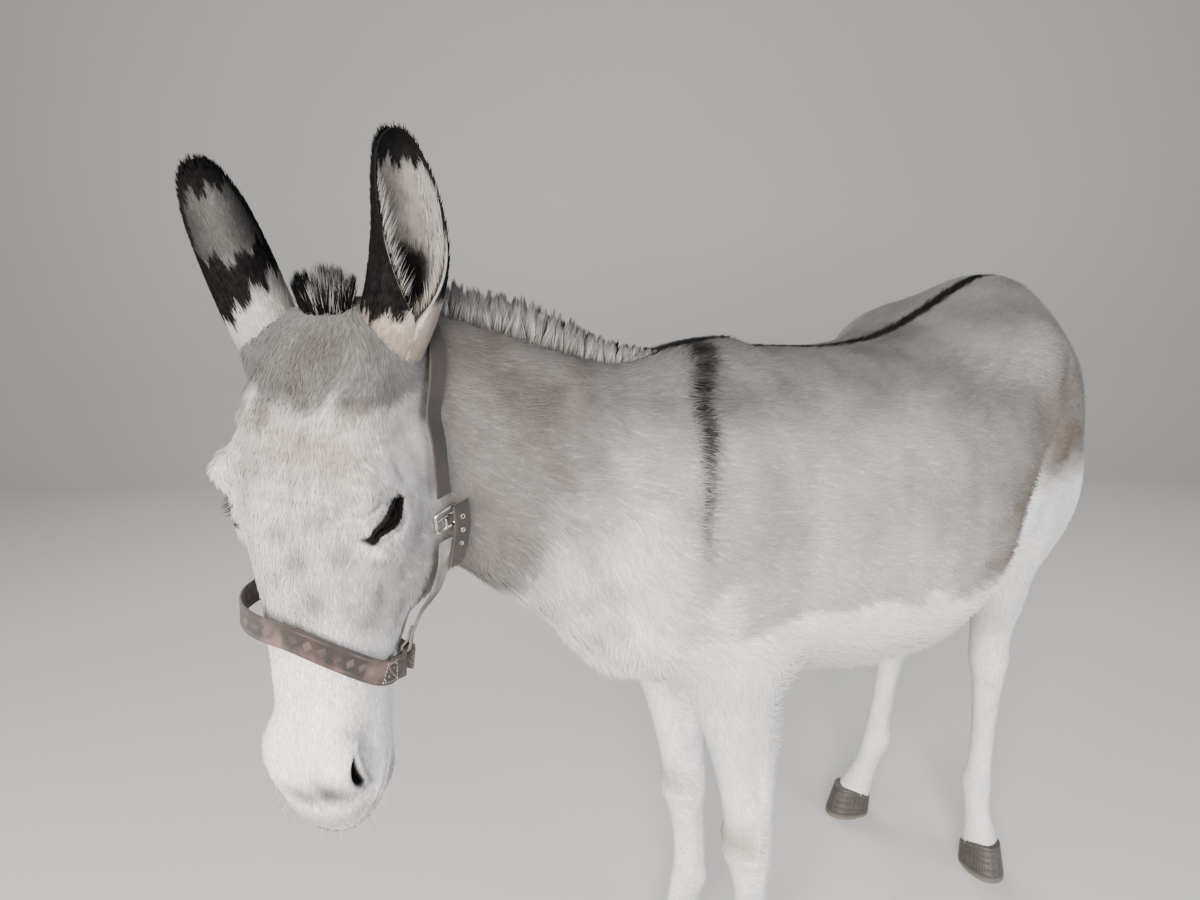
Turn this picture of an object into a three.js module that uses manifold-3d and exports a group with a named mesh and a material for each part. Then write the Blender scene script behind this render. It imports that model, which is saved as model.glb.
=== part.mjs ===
// A standing donkey with its head lowered and turned to its left, wearing a webbing headcollar.
// Life size, in millimetres. While it is laid out, X runs towards the chest, Y to the animal's left and
// Z up, from the point on the ground under the withers. At the end the whole is centred over its base.
// The flesh is one signed field: below zero inside, zero at the tips of the coat. It is meshed as a few
// skins of rays that are joined, and the joined body is then parted with thin plane cuts.

import * as THREE from "three";
import Module from "manifold-3d";
import { mergeVertices } from "three/addons/utils/BufferGeometryUtils.js";

const wasm = await Module();
wasm.setup();

// ---------------------------------------------------------------- driving dimensions
const CUT = 0.3; // gap between neighbouring pieces

const TRUNK = {
  // one station: x, top, bottom, half width, height of the widest level
  stations: [
    [205, 890, 690, 50, 795],
    [175, 945, 642, 95, 780],
    [110, 1005, 600, 138, 765],
    [40, 1038, 580, 158, 762],
    [-40, 1050, 575, 172, 755],
    [-150, 1042, 552, 202, 742],
    [-260, 1036, 532, 228, 735],
    [-370, 1046, 540, 240, 745],
    [-470, 1076, 584, 230, 782],
    [-560, 1112, 645, 205, 838],
    [-640, 1134, 675, 174, 875],
    [-705, 1120, 735, 138, 885],
    [-758, 1062, 780, 92, 890],
    [-792, 975, 830, 40, 900],
  ],
  topPower: 2.1,
  bottomPower: 2.1,
};

const NECK = {
  // one station: x, top, bottom, half width, height of the widest level, sideways shift
  stations: [
    [-40, 1040, 650, 100, 840, 0],
    [60, 1040, 640, 112, 830, 0],
    [150, 1041, 652, 102, 845, 6],
    [240, 1064, 712, 88, 890, 22],
    [330, 1094, 786, 76, 945, 42],
    [420, 1118, 866, 68, 998, 64],
    [495, 1118, 930, 58, 1030, 88],
  ],
  power: 2.1,
  // the cut between trunk and neck runs from the withers to the front of the chest
  cut: { at: [150, 0, 880], normal: [0.953, 0, 0.304] },
};

const HEAD = {
  poll: [525, 92, 1118],
  yaw: 35, // degrees to the animal's left of straight ahead
  nod: -5, // degrees; below zero carries the muzzle forward
  roll: 0,
  swing: { most: 9, from: 320, to: 440 }, // the muzzle swings a little to the left, down the face
  // one station: distance down from the poll, front, back, half width, level of the widest part
  stations: [
    [-12, -20, -52, 22, -38],
    [0, 4, -80, 46, -38],
    [25, 26, -105, 62, -30],
    [70, 44, -122, 76, -18],
    [120, 53, -140, 84, -14],
    [165, 55, -158, 86, -16],
    [215, 51, -162, 77, -26],
    [265, 46, -142, 66, -30],
    [310, 43, -108, 57, -26],
    [355, 42, -86, 52, -18],
    [400, 45, -76, 48, -10],
    [440, 45, -70, 48, -6],
    [468, 36, -56, 43, -6],
    [488, 18, -34, 30, -6],
    [496, 4, -16, 12, -6],
  ],
  frontPower: 2.5,
  backPower: 1.9,
  // the cut between neck and head: a point and a normal, as forward, left, up in the head's axes
  cut: { at: [-82, 0, 0], normal: [-0.964, 0, 0.265] },
};

const EYE = {
  radius: 19,
  forward: 6,
  side: 69,
  down: 179,
  slit: { half: 19, height: 7, depth: 14, slope: 47 }, // opening between the lids
};

const EAR = {
  // root: forward, out and down from the poll; opening: degrees that the mouth is turned outwards from
  // straight ahead; reach: forward, out, up to the tip; how far the middle bows away from the mouth, and
  // sways back across the ear; girth: its thickness against the stations
  left: { root: [-37, 49, 41], opening: 62, reach: [43.6, 46.7, 191], bow: -6, sway: 15, girth: 1 },
  right: { root: [-27, 66, 44], opening: 140, reach: [42.6, 54, 178], bow: 2, sway: 0, girth: 0.92 },
  // one station: share of the length, outer radius, inner radius, half angle of the curl in degrees
  stations: [
    [0, 33, 3, 172],
    [0.12, 35, 12, 172],
    [0.24, 36, 26, 164],
    [0.35, 36, 29.5, 144],
    [0.48, 35.5, 30, 120],
    [0.62, 34, 29, 100],
    [0.75, 31.5, 27, 88],
    [0.86, 27, 23, 80],
    [0.93, 22, 18.5, 74],
    [1, 8, 5, 66],
  ],
  across: 7, // points across the outer face
};

// one limb station: z, then the centre's x and y, half depth fore and aft, and half width
const FORELEG = [
  [740, 10, -20, 100, 46],
  [690, 10, -6, 96, 56],
  [640, 8, 4, 86, 58],
  [570, 12, 8, 68, 50],
  [500, 1, 8, 55, 43],
  [430, -8, 6, 45, 38],
  [375, -12, 4, 39, 35],
  [345, -12, 3, 39, 37],
  [315, -12, 2, 39, 37],
  [285, -15, 2, 33, 31],
  [245, -18, 2, 28, 25],
  [200, -20, 1, 27, 24],
  [165, -20, 1, 29, 26],
  [143, -18, 0, 33, 29],
  [115, -9, 0, 30, 26],
  [90, 0, 0, 28, 25],
  [66, 9, 0, 33, 30],
  [45, 14, 0, 37, 33],
  [20, 18, 0, 40, 35],
];

const HINDLEG = [
  [800, 45, -25, 120, 60],
  [740, 44, -8, 140, 68],
  [680, 42, 2, 128, 66],
  [620, 24, 4, 112, 58],
  [560, 8, 2, 84, 48],
  [510, -8, -2, 64, 40],
  [468, -12, -4, 52, 36],
  [432, -10, -3, 45, 36],
  [398, -8, -2, 37, 31],
  [355, -8, -1, 30, 26],
  [300, -9, 0, 26, 23],
  [240, -11, 0, 25, 22],
  [188, -13, 0, 27, 24],
  [158, -17, 0, 32, 28],
  [126, -9, 0, 29, 25],
  [96, 2, 0, 28, 25],
  [68, 13, 0, 32, 29],
  [45, 19, 0, 36, 32],
  [20, 23, 0, 39, 34],
];

// place: where the pastern stands; turn: degrees the foot points outwards; lean: shift of the leg's top
const LIMBS = {
  foreleg_left: { rows: FORELEG, side: 1, place: [-42, 88], turn: 8, lean: [46, 8], cut: 560 },
  foreleg_right: { rows: FORELEG, side: -1, place: [-46, -72], turn: 8, lean: [8, 18], cut: 560 },
  hindleg_left: { rows: HINDLEG, side: 1, place: [-676, 72], turn: 62, lean: [26, 4], cut: 560 },
  hindleg_right: { rows: HINDLEG, side: -1, place: [-614, -162], turn: 10, lean: [-78, -62], cut: 560 },
};

const HOOF = {
  toe: 58, // from the middle of the foot to the toe, on the ground
  heel: 36,
  half: 38,
  taper: 0.84, // size at the coronet against the sole
  rake: 12, // how far the coronet sits behind the toe
  front: 64, // height of the coronet at the toe
  back: 36, // and at the heel
};

const TAIL = {
  // the dock: points along it with its radius, then the switch of long hair
  dock: [
    [-745, 1032, 26],
    [-786, 1014, 26],
    [-818, 972, 23],
    [-832, 908, 20],
    [-836, 830, 18],
    [-833, 735, 16],
  ],
  switch: [
    [-833, 734, 17],
    [-832, 690, 27],
    [-830, 620, 34],
    [-828, 540, 35],
    [-826, 470, 27],
    [-824, 415, 10],
  ],
};

const MANE = {
  // one station: x, height over the crest, half thickness at the root
  stations: [
    [56, 7, 4],
    [80, 11, 6],
    [110, 18, 9],
    [140, 24, 11],
    [185, 34, 13],
    [235, 43, 14],
    [290, 47, 15],
    [335, 40, 15],
    [370, 37, 15],
    [408, 33, 13],
  ],
  steps: 15,
  sunk: 14, // how deep its root is set before it is trimmed to the neck
};

const FORELOCK = { forward: -14, down: 8, height: 46, half: 27, depth: 15 };

const COLLAR = {
  width: 24,
  narrow: 19, // width of the headpiece and the cheek straps
  thick: 3,
  lift: 4, // clear space under a strap, which the coat fills
  // the band round the nose: place down the face, how far it tips and dips to the left, the middle
  // of its arc, how far it stands off on the right, and the half angle it covers
  nose: { down: 286, tip: 14, dip: 41, middle: -30, slack: 16, ends: 104 },
  chin: { from: 141, sag: 40, slack: 22 },
  ring: { at: 120, radius: 12, wire: 2.2 },
  // headpiece over the poll behind the ears: centre of its arc, and how far it leans back
  crown: { forward: -48, down: 92, tilt: 21, ends: 88 },
  // places on the cheek as forward, down: under the crown, then under the buckle
  cheek: [[-52, 118], [-56, 145], [-63, 170]],
  lower: {
    left: [[-80, 218], [-84, 244], [-82, 270], [-75, 296], [-66, 316]],
    right: [[-66, 182], [-76, 205], [-78, 228], [-71, 250]],
  },
  buckle: { forward: -72, down: 195, width: 30, height: 26, wire: 2.4 },
  end: { lift: 10, places: [[-84, 178], [-94, 202], [-100, 226], [-104, 246]] },
};

// ---------------------------------------------------------------- small helpers
const radians = THREE.MathUtils.degToRad;
const lerp = THREE.MathUtils.lerp;
const clamp = THREE.MathUtils.clamp;
const vector = (x, y, z) => new THREE.Vector3(x, y, z);

/** Smooth curve through one column of a station table, as a function of the table's first column. */
function profile(rows, index) {
  const sorted = rows.slice().sort((a, b) => a[0] - b[0]);
  const knots = sorted.map((row) => row[0]);
  const values = sorted.map((row) => row[index]);
  const last = knots.length - 1;
  const slopes = values.map((_, i) => {
    const a = Math.max(i - 1, 0);
    const b = Math.min(i + 1, last);
    return (values[b] - values[a]) / (knots[b] - knots[a]);
  });
  return (x) => {
    let i = 0;
    while (i < last - 1 && knots[i + 1] < x) i++;
    const span = knots[i + 1] - knots[i];
    const f = clamp((x - knots[i]) / span, 0, 1);
    const g = 1 - f;
    return (
      values[i] * (1 + 2 * f) * g * g +
      slopes[i] * span * f * g * g +
      values[i + 1] * f * f * (3 - 2 * f) -
      slopes[i + 1] * span * f * f * g
    );
  };
}

/** The union of two fields with a fillet of size k. */
function smooth(a, b, k) {
  const h = Math.max(k - Math.abs(a - b), 0) / k;
  return Math.min(a, b) - h * h * k * 0.25;
}

/** Several forms blended together with one fillet size. */
function blend(k, first, ...others) {
  return (x, y, z) => others.reduce((d, form) => smooth(d, form(x, y, z), k), first(x, y, z));
}

/** An ellipsoid at a centre, with its radii and a turn in degrees about Y. */
function egg([cx, cy, cz], [a, b, c], turn = 0) {
  const cos = Math.cos(radians(turn));
  const sin = Math.sin(radians(turn));
  return (x, y, z) => {
    const u = cos * (x - cx) - sin * (z - cz);
    const v = y - cy;
    const w = sin * (x - cx) + cos * (z - cz);
    const near = Math.hypot(u / a, v / b, w / c);
    const slope = Math.hypot(u / (a * a), v / (b * b), w / (c * c));
    return slope > 1e-9 ? (near * (near - 1)) / slope : -Math.min(a, b, c);
  };
}

/** Distance outside a superellipse with half sizes ru and rv. */
function oval(u, v, ru, rv, power) {
  const n = Math.pow(Math.pow(Math.abs(u) / ru, power) + Math.pow(Math.abs(v) / rv, power), 1 / power);
  const r = Math.hypot(u, v);
  return n > 1e-6 ? r * (1 - 1 / n) : -Math.min(ru, rv);
}

/** A form lofted along a straight axis: rows hold place, top, bottom, half width and widest level. */
function loft(rows, topPower, bottomPower) {
  const [top, bottom, half, level] = [1, 2, 3, 4].map((i) => profile(rows, i));
  const places = rows.map((row) => row[0]);
  const low = Math.min(...places);
  const high = Math.max(...places);
  return (along, up, side) => {
    const t = clamp(along, low, high);
    const rise = up - level(t);
    const reach = rise > 0 ? top(t) - level(t) : level(t) - bottom(t);
    const d = oval(rise, side, reach, half(t), rise > 0 ? topPower : bottomPower);
    const beyond = Math.abs(along - t);
    return beyond > 0 ? Math.hypot(Math.max(d, 0), beyond) : d;
  };
}

// ---------------------------------------------------------------- trunk and neck
function trunkCore() {
  const form = loft(TRUNK.stations, TRUNK.topPower, TRUNK.bottomPower);
  return (x, y, z) => form(x, z, y);
}

/** Shoulder blade, upper arm and breast, on one side: s is 1 on the left and -1 on the right. */
function shoulder(s) {
  return blend(
    40,
    egg([45, s * 92, 835], [78, 46, 132], 20),
    egg([118, s * 92, 722], [82, 56, 72], 10),
    egg([10, s * 108, 672], [95, 50, 78]),
  );
}

/** Hip, thigh and buttock, on one side. */
function haunch(s) {
  return blend(
    40,
    egg([-548, s * 118, 1000], [92, 72, 62]),
    egg([-668, s * 88, 922], [112, 78, 122]),
    egg([-655, s * 106, 800], [138, 72, 150], 12),
    egg([-738, s * 58, 850], [54, 50, 105]),
    egg([-600, s * 124, 712], [72, 52, 84], -18),
    egg([-732, s * 92, 720], [56, 48, 120], -10),
  );
}

const neckShift = profile(NECK.stations, 5);
const neckTop = profile(NECK.stations, 1);

function neckCore() {
  const form = loft(NECK.stations, NECK.power, NECK.power);
  return (x, y, z) => form(x, z, y - neckShift(x));
}

const torsoField = blend(65, trunkCore(), shoulder(1), shoulder(-1), haunch(1), haunch(-1), neckCore());

// ---------------------------------------------------------------- head
const headFrame = new THREE.Matrix4()
  .makeTranslation(...HEAD.poll)
  .multiply(new THREE.Matrix4().makeRotationZ(radians(HEAD.yaw)))
  .multiply(new THREE.Matrix4().makeRotationY(radians(HEAD.nod)))
  .multiply(new THREE.Matrix4().makeRotationX(radians(HEAD.roll)));
const headInverse = headFrame.clone().invert();

/** How far the muzzle has swung to the left at a place down the face. */
function swing(down) {
  const t = Math.min(Math.max((down - HEAD.swing.from) / (HEAD.swing.to - HEAD.swing.from), 0), 1);
  return HEAD.swing.most * t * t * (3 - 2 * t);
}

/** A point of the head, given as forward of the poll line, to the left, and down towards the muzzle. */
function onHead(forward, left, down) {
  return vector(forward, left + swing(down), -down).applyMatrix4(headFrame);
}

/** A direction given in the head's axes: forward, left, up. */
function headWay(forward, left, up) {
  return vector(forward, left, up).transformDirection(headFrame);
}

/** A form written in the head's own axes (forward, left, up), placed in the layout frame. */
function headForm(form) {
  const m = headInverse.elements;
  return (x, y, z) => {
    const up = m[2] * x + m[6] * y + m[10] * z + m[14];
    return form(
      m[0] * x + m[4] * y + m[8] * z + m[12],
      m[1] * x + m[5] * y + m[9] * z + m[13] - swing(-up),
      up,
    );
  };
}

function headCore() {
  const form = loft(HEAD.stations, HEAD.frontPower, HEAD.backPower);
  return (x, y, z) => form(-z, x, y);
}

/** Brow, cheekbone, jaw muscle and nostril, on one side. */
function face(s) {
  return blend(
    14,
    egg([24, s * 72, -146], [28, 24, 22]),
    egg([-4, s * 76, -186], [34, 14, 36]),
    egg([-93, s * 48, -208], [68, 28, 80]),
    egg([27, s * 34, -412], [17, 17, 31]),
  );
}

const chin = egg([-44, 0, -456], [28, 30, 24]);
const headField = headForm(blend(22, headCore(), face(1), face(-1), chin));

// ---------------------------------------------------------------- limbs
/** A limb whose level sections are ovals, turned out gradually towards the foot. */
function limb({ rows, side, place, turn, lean }) {
  const [cx, cy, depth, half] = [1, 2, 3, 4].map((i) => profile(rows, i));
  const heights = rows.map((row) => row[0]);
  const low = Math.min(...heights);
  const high = Math.max(...heights);
  const at = (z) => {
    const raised = clamp((z - low) / (high - low), 0, 1);
    const angle = radians(turn) * side * Math.pow(1 - raised, 0.8);
    const [c, s] = [Math.cos(angle), Math.sin(angle)];
    const out = cy(z) * side;
    return {
      x: place[0] + lean[0] * raised + cx(z) * c - out * s,
      y: place[1] + lean[1] * raised * side + cx(z) * s + out * c,
      c,
      s,
    };
  };
  const field = (x, y, z) => {
    const level = clamp(z, low, high);
    const { x: ox, y: oy, c, s } = at(level);
    const u = (x - ox) * c + (y - oy) * s;
    const v = (y - oy) * c - (x - ox) * s;
    const d = oval(u, v, depth(level), half(level), 2);
    const beyond = Math.abs(z - level);
    return beyond > 0 ? Math.hypot(Math.max(d, 0), beyond) : d;
  };
  return { at, field, low, high };
}

for (const spec of Object.values(LIMBS)) Object.assign(spec, limb(spec));

const wholeField = blend(34, torsoField, headField, ...Object.values(LIMBS).map((spec) => spec.field));

// ---------------------------------------------------------------- meshing
/** Walks outwards from a point inside a field until it leaves it, and returns the place. */
function surfacePoint(field, from, direction, limit) {
  const at = (r) => field(from.x + direction.x * r, from.y + direction.y * r, from.z + direction.z * r);
  let inside = 0;
  let r = 1;
  while (r < limit) {
    const d = at(r);
    if (d > 0) break;
    inside = r;
    r += Math.max(-d * 0.6, 1);
  }
  let outside = Math.min(r, limit);
  for (let i = 0; i < 16; i++) {
    const middle = (inside + outside) / 2;
    if (at(middle) > 0) outside = middle;
    else inside = middle;
  }
  return from.clone().addScaledVector(direction, inside);
}

/** The outward normal of a field at a point. */
function normalAt(field, p) {
  const e = 2;
  return vector(
    field(p.x + e, p.y, p.z) - field(p.x - e, p.y, p.z),
    field(p.x, p.y + e, p.z) - field(p.x, p.y - e, p.z),
    field(p.x, p.y, p.z + e) - field(p.x, p.y, p.z - e),
  ).normalize();
}

/** A solid made of rings of points, each joined to the next; an open one is capped at both ends. */
function ringSolid(rings, closed = false) {
  const sides = rings[0].length;
  const index = [];
  const steps = closed ? rings.length : rings.length - 1;
  for (let i = 0; i < steps; i++)
    for (let j = 0; j < sides; j++) {
      const [a, b] = [i * sides + j, i * sides + ((j + 1) % sides)];
      const next = ((i + 1) % rings.length) * sides;
      const [c, d] = [next + ((j + 1) % sides), next + j];
      index.push(a, b, c, a, c, d);
    }
  const cap = (start, flip) => {
    for (let j = 0; j + 1 < sides / 2; j++) {
      const quad = [j, j + 1, sides - 2 - j, sides - 1 - j].map((k) => start + k);
      const faces = [[quad[0], quad[1], quad[2]], [quad[0], quad[2], quad[3]]];
      for (const [a, b, c] of faces) {
        if (a !== b && b !== c && a !== c) index.push(...(flip ? [a, c, b] : [a, b, c]));
      }
    }
  };
  if (!closed) {
    cap(0, true);
    cap((rings.length - 1) * sides, false);
  }
  return solidFrom(rings.flat(), index);
}

/** A closed skin of rays round an axis curve, with rounded ends. */
function shell(field, curve, { rings, sides, up, limit, caps = 3 }) {
  const tilts = Array.from({ length: caps }, (_, i) => ((i + 1) / (caps + 1)) * (Math.PI / 2));
  const ring = (t, tilt) => {
    const centre = curve.getPoint(t);
    const along = curve.getTangent(t);
    const u = up.clone().addScaledVector(along, -up.dot(along)).normalize();
    const s = vector(0, 0, 0).crossVectors(along, u);
    return Array.from({ length: sides }, (_, j) => {
      const angle = (2 * Math.PI * j) / sides;
      const way = vector(0, 0, 0)
        .addScaledVector(u, Math.cos(angle) * Math.cos(tilt))
        .addScaledVector(s, Math.sin(angle) * Math.cos(tilt))
        .addScaledVector(along, Math.sin(tilt));
      return surfacePoint(field, centre, way, limit);
    });
  };
  const all = [
    ...tilts.slice().reverse().map((tilt) => ring(0, -tilt)),
    ...Array.from({ length: rings }, (_, i) => ring(i / (rings - 1), 0)),
    ...tilts.map((tilt) => ring(1, tilt)),
  ];
  return ringSolid(all);
}

/** A manifold solid from points and triangles, turned right side out. */
function solidFrom(points, index) {
  const vertProperties = new Float32Array(points.length * 3);
  points.forEach((p, i) => vertProperties.set([p.x, p.y, p.z], i * 3));
  let volume = 0;
  for (let i = 0; i < index.length; i += 3) {
    const [a, b, c] = [points[index[i]], points[index[i + 1]], points[index[i + 2]]];
    volume += a.dot(vector(0, 0, 0).crossVectors(b, c));
  }
  const triVerts = new Uint32Array(index);
  if (volume < 0) triVerts.reverse();
  return new wasm.Manifold(new wasm.Mesh({ numProp: 3, vertProperties, triVerts }));
}

/** A three.js geometry as a manifold solid. */
function solidOf(geometry, matrix = new THREE.Matrix4()) {
  const g = geometry.clone().applyMatrix4(matrix);
  for (const name of Object.keys(g.attributes)) if (name !== "position") g.deleteAttribute(name);
  const merged = mergeVertices(g, 1e-3);
  return new wasm.Manifold(
    new wasm.Mesh({
      numProp: 3,
      vertProperties: merged.attributes.position.array,
      triVerts: new Uint32Array(merged.index.array),
    }),
  );
}

/** The same solid moved by a vector. */
function moved(solid, step) {
  return solidOf(geometryOf(solid), new THREE.Matrix4().makeTranslation(step.x, step.y, step.z));
}

/** A big block on the side of a plane that the normal points to. */
function halfSpace(point, normal, size = 4000) {
  const turn = new THREE.Quaternion().setFromUnitVectors(vector(0, 0, 1), normal);
  const centre = point.clone().addScaledVector(normal, size / 2);
  return solidOf(
    new THREE.BoxGeometry(size, size, size),
    new THREE.Matrix4().compose(centre, turn, vector(1, 1, 1)),
  );
}

/** Parts a solid along a plane: the piece ahead of the normal and the piece behind, a cut apart. */
function part(solid, point, normal) {
  const ahead = halfSpace(point.clone().addScaledVector(normal, CUT / 2), normal);
  const behind = halfSpace(point.clone().addScaledVector(normal, -CUT / 2), normal.clone().negate());
  return [largest(solid.intersect(ahead)), largest(solid.intersect(behind))];
}

function largest(solid) {
  return solid.decompose().sort((a, b) => b.volume() - a.volume())[0];
}

/** What is left of a solid outside another one, with a cut's gap on the side it stands on. */
function standOn(solid, ground, way) {
  const step = way.clone().normalize().multiplyScalar(CUT * 2);
  return largest(solid.subtract(ground).subtract(moved(ground, step)));
}

function geometryOf(solid) {
  const mesh = solid.getMesh();
  const positions = new Float32Array(mesh.numVert * 3);
  for (let i = 0; i < mesh.numVert; i++)
    positions.set(mesh.vertProperties.subarray(i * mesh.numProp, i * mesh.numProp + 3), i * 3);
  const geometry = new THREE.BufferGeometry()
    .setAttribute("position", new THREE.BufferAttribute(positions, 3))
    .setIndex(new THREE.BufferAttribute(new Uint32Array(mesh.triVerts), 1));
  geometry.computeVertexNormals();
  return geometry;
}

// ---------------------------------------------------------------- the group and its materials
const donkey = new THREE.Group();
const material = (color, roughness, metalness = 0) =>
  new THREE.MeshStandardMaterial({ color, roughness, metalness });
const coatGrey = material(0xb4aca5, 0.9);
const coatWhite = material(0xd8d5d2, 0.9);
const hairDark = material(0x4d4846, 0.8);
const horn = material(0x4f4a45, 0.55);
const eyeDark = material(0x1c1613, 0.15);
const webbing = material(0x7b6660, 0.85);
const steel = material(0xa8a9aa, 0.35, 0.9);

function add(name, solid, finish) {
  const mesh = new THREE.Mesh(geometryOf(solid), finish);
  mesh.name = name;
  donkey.add(mesh);
  return solid;
}

// ---------------------------------------------------------------- the body, joined and parted
const UP = vector(0, 0, 1);

function torsoSolid() {
  const spine = new THREE.CatmullRomCurve3([
    vector(-770, 0, 930),
    vector(-640, 0, 890),
    vector(-450, 0, 810),
    vector(-250, 0, 775),
    vector(-60, 0, 790),
    vector(80, 2, 830),
    vector(210, 18, 905),
    vector(330, 42, 975),
    vector(430, 66, 1022),
  ]);
  return shell(torsoField, spine, { rings: 31, sides: 22, up: UP, limit: 420, caps: 3 });
}

function headSolid() {
  const axis = new THREE.CatmullRomCurve3(
    [[-35, 24], [-42, 110], [-48, 210], [-28, 310], [-14, 390], [-8, 465]].map(([forward, down]) =>
      onHead(forward, 0, down),
    ),
  );
  const field = blend(34, torsoField, headField);
  return shell(field, axis, { rings: 22, sides: 20, up: headWay(1, 0, 0), limit: 230, caps: 3 });
}

function limbSolid(spec) {
  const hind = spec.rows === HINDLEG;
  const levels = [24, 60, 90, 118, 142, 165, 200, 245, 290, 318, 348, 385, 430, 470, 520, 570];
  levels.push(hind ? 650 : 620);
  const axis = new THREE.CatmullRomCurve3(
    levels.map((z) => {
      const { x, y } = spec.at(z);
      return vector(x, y, z);
    }),
  );
  const inner = (x, y, z) => Math.max(wholeField(x, y, z), 12 - y * spec.side);
  const limit = hind ? 150 : 105;
  return shell(inner, axis, { rings: 18, sides: 12, up: vector(1, 0, 0), limit, caps: 1 });
}

const body = Object.values(LIMBS)
  .map(limbSolid)
  .concat(headSolid())
  .reduce((whole, piece) => whole.add(piece), torsoSolid());

/** The oblong of ground under a limb, up to where it is parted from the trunk. */
function limbRoom(spec, top) {
  const size = { x: spec.rows === FORELEG ? 320 : 210, y: 260, z: 700 };
  const { x } = spec.at(spec.cut - 40);
  const centre = vector(x, spec.side * (size.y / 2), top - size.z / 2);
  return solidOf(
    new THREE.BoxGeometry(size.x, size.y, size.z),
    new THREE.Matrix4().makeTranslation(centre.x, centre.y, centre.z),
  );
}

/** The coronet of a foot: a point on it and the normal of its plane, which slopes down to the heel. */
function coronet(spec) {
  const { x, y, c, s } = spec.at(0);
  const slope = Math.atan2(HOOF.front - HOOF.back, HOOF.toe + HOOF.heel);
  const normal = vector(-Math.sin(slope) * c, -Math.sin(slope) * s, Math.cos(slope));
  const middle = (HOOF.front + HOOF.back) / 2;
  return { point: vector(x, y, middle), normal };
}

/** A hoof: a tapering wall round a flat sole, topped by the sloping coronet. */
function hoof(spec) {
  const { x, y, c, s } = spec.at(0);
  const { point, normal } = coronet(spec);
  const sides = 14;
  const ring = (height) =>
    Array.from({ length: sides }, (_, j) => {
      const angle = (2 * Math.PI * j) / sides;
      const size = lerp(1, HOOF.taper, height / HOOF.front);
      const u = Math.cos(angle) * (Math.cos(angle) > 0 ? HOOF.toe : HOOF.heel) * size;
      const v = Math.sin(angle) * HOOF.half * size * (1 - 0.1 * Math.min(Math.cos(angle), 0));
      const forward = u - (HOOF.rake * height) / HOOF.front;
      return vector(x + forward * c - v * s, y + forward * s + v * c, height);
    });
  const wall = ringSolid([0, 8, HOOF.back, HOOF.front, HOOF.front + 20].map(ring));
  return part(wall, point, normal)[1];
}

let rest = body;
for (const [name, spec] of Object.entries(LIMBS)) {
  const room = limbRoom(spec, spec.cut - CUT / 2);
  const leg = largest(body.intersect(room));
  rest = largest(rest.subtract(limbRoom(spec, spec.cut + CUT / 2)));
  const { point, normal } = coronet(spec);
  add(name, part(leg, point, normal)[0], coatWhite);
  add(name.replace("leg", "hoof"), hoof(spec), horn);
}

const neckCut = HEAD.cut;
const [behindHead, frontOfCut] = part(rest, onHead(...neckCut.at), headWay(...neckCut.normal));
const [neck, trunk] = part(behindHead, vector(...NECK.cut.at), vector(...NECK.cut.normal).normalize());
add("trunk", trunk, coatGrey);
add("neck", neck, coatGrey);

// ---------------------------------------------------------------- eyes in their sockets
/** The socket and the slit between the lids, which open the head down to the eye. */
function socket(s) {
  const centre = onHead(EYE.forward, s * EYE.side, EYE.down);
  const ball = new THREE.SphereGeometry(EYE.radius + CUT, 10, 8);
  const outward = normalAt(headField, centre.clone().add(headWay(0.35, s, 0).multiplyScalar(EYE.radius)));
  const slope = radians(EYE.slit.slope);
  const along = headWay(-Math.cos(slope), 0, Math.sin(slope));
  along.addScaledVector(outward, -along.dot(outward)).normalize();
  const across = vector(0, 0, 0).crossVectors(outward, along);
  const middle = centre.clone().addScaledVector(outward, EYE.radius);
  const slit = new THREE.SphereGeometry(1, 12, 6);
  const frame = new THREE.Matrix4()
    .makeBasis(along, across, outward)
    .scale(vector(EYE.slit.half, EYE.slit.height, EYE.slit.depth))
    .setPosition(middle);
  const place = new THREE.Matrix4().makeTranslation(centre.x, centre.y, centre.z);
  return solidOf(ball, place).add(solidOf(slit, frame));
}

function eyeball(s) {
  const centre = onHead(EYE.forward, s * EYE.side, EYE.down);
  return solidOf(
    new THREE.SphereGeometry(EYE.radius, 10, 8),
    new THREE.Matrix4().makeTranslation(centre.x, centre.y, centre.z),
  );
}

const head = largest(frontOfCut.subtract(socket(1)).subtract(socket(-1)));
add("head", head, coatWhite);
add("eye_left", eyeball(1), eyeDark);
add("eye_right", eyeball(-1), eyeDark);

// ---------------------------------------------------------------- ears
function ear(s) {
  const [outer, inner, curl] = [1, 2, 3].map((i) => profile(EAR.stations, i));
  const own = s > 0 ? EAR.left : EAR.right;
  const root = onHead(own.root[0], s * own.root[1], own.root[2]);
  const [forward, out, up] = own.reach;
  const reach = onHead(forward, s * out, -up).sub(onHead(0, 0, 0));
  const along = reach.clone().normalize();
  const mouth = headWay(Math.cos(radians(own.opening)), s * Math.sin(radians(own.opening)), 0);
  mouth.addScaledVector(along, -mouth.dot(along)).normalize();
  const across = vector(0, 0, 0).crossVectors(along, mouth);
  const rings = EAR.stations.map(([share]) => {
    const centre = root.clone().addScaledVector(reach, share);
    centre.addScaledVector(mouth, -own.bow * Math.sin(Math.PI * share));
    centre.addScaledVector(across, own.sway * Math.sin(Math.PI * share));
    const arc = (radius, sign) =>
      Array.from({ length: EAR.across }, (_, j) => {
        const angle = sign * radians(curl(share)) * (1 - (2 * j) / (EAR.across - 1));
        return centre
          .clone()
          .addScaledVector(mouth, -radius * Math.cos(angle))
          .addScaledVector(across, radius * Math.sin(angle));
      });
    return [...arc(outer(share) * own.girth, 1), ...arc(inner(share) * own.girth, -1)];
  });
  return standOn(ringSolid(rings), head, reach);
}

add("ear_left", ear(1), coatWhite);
add("ear_right", ear(-1), coatWhite);

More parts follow.
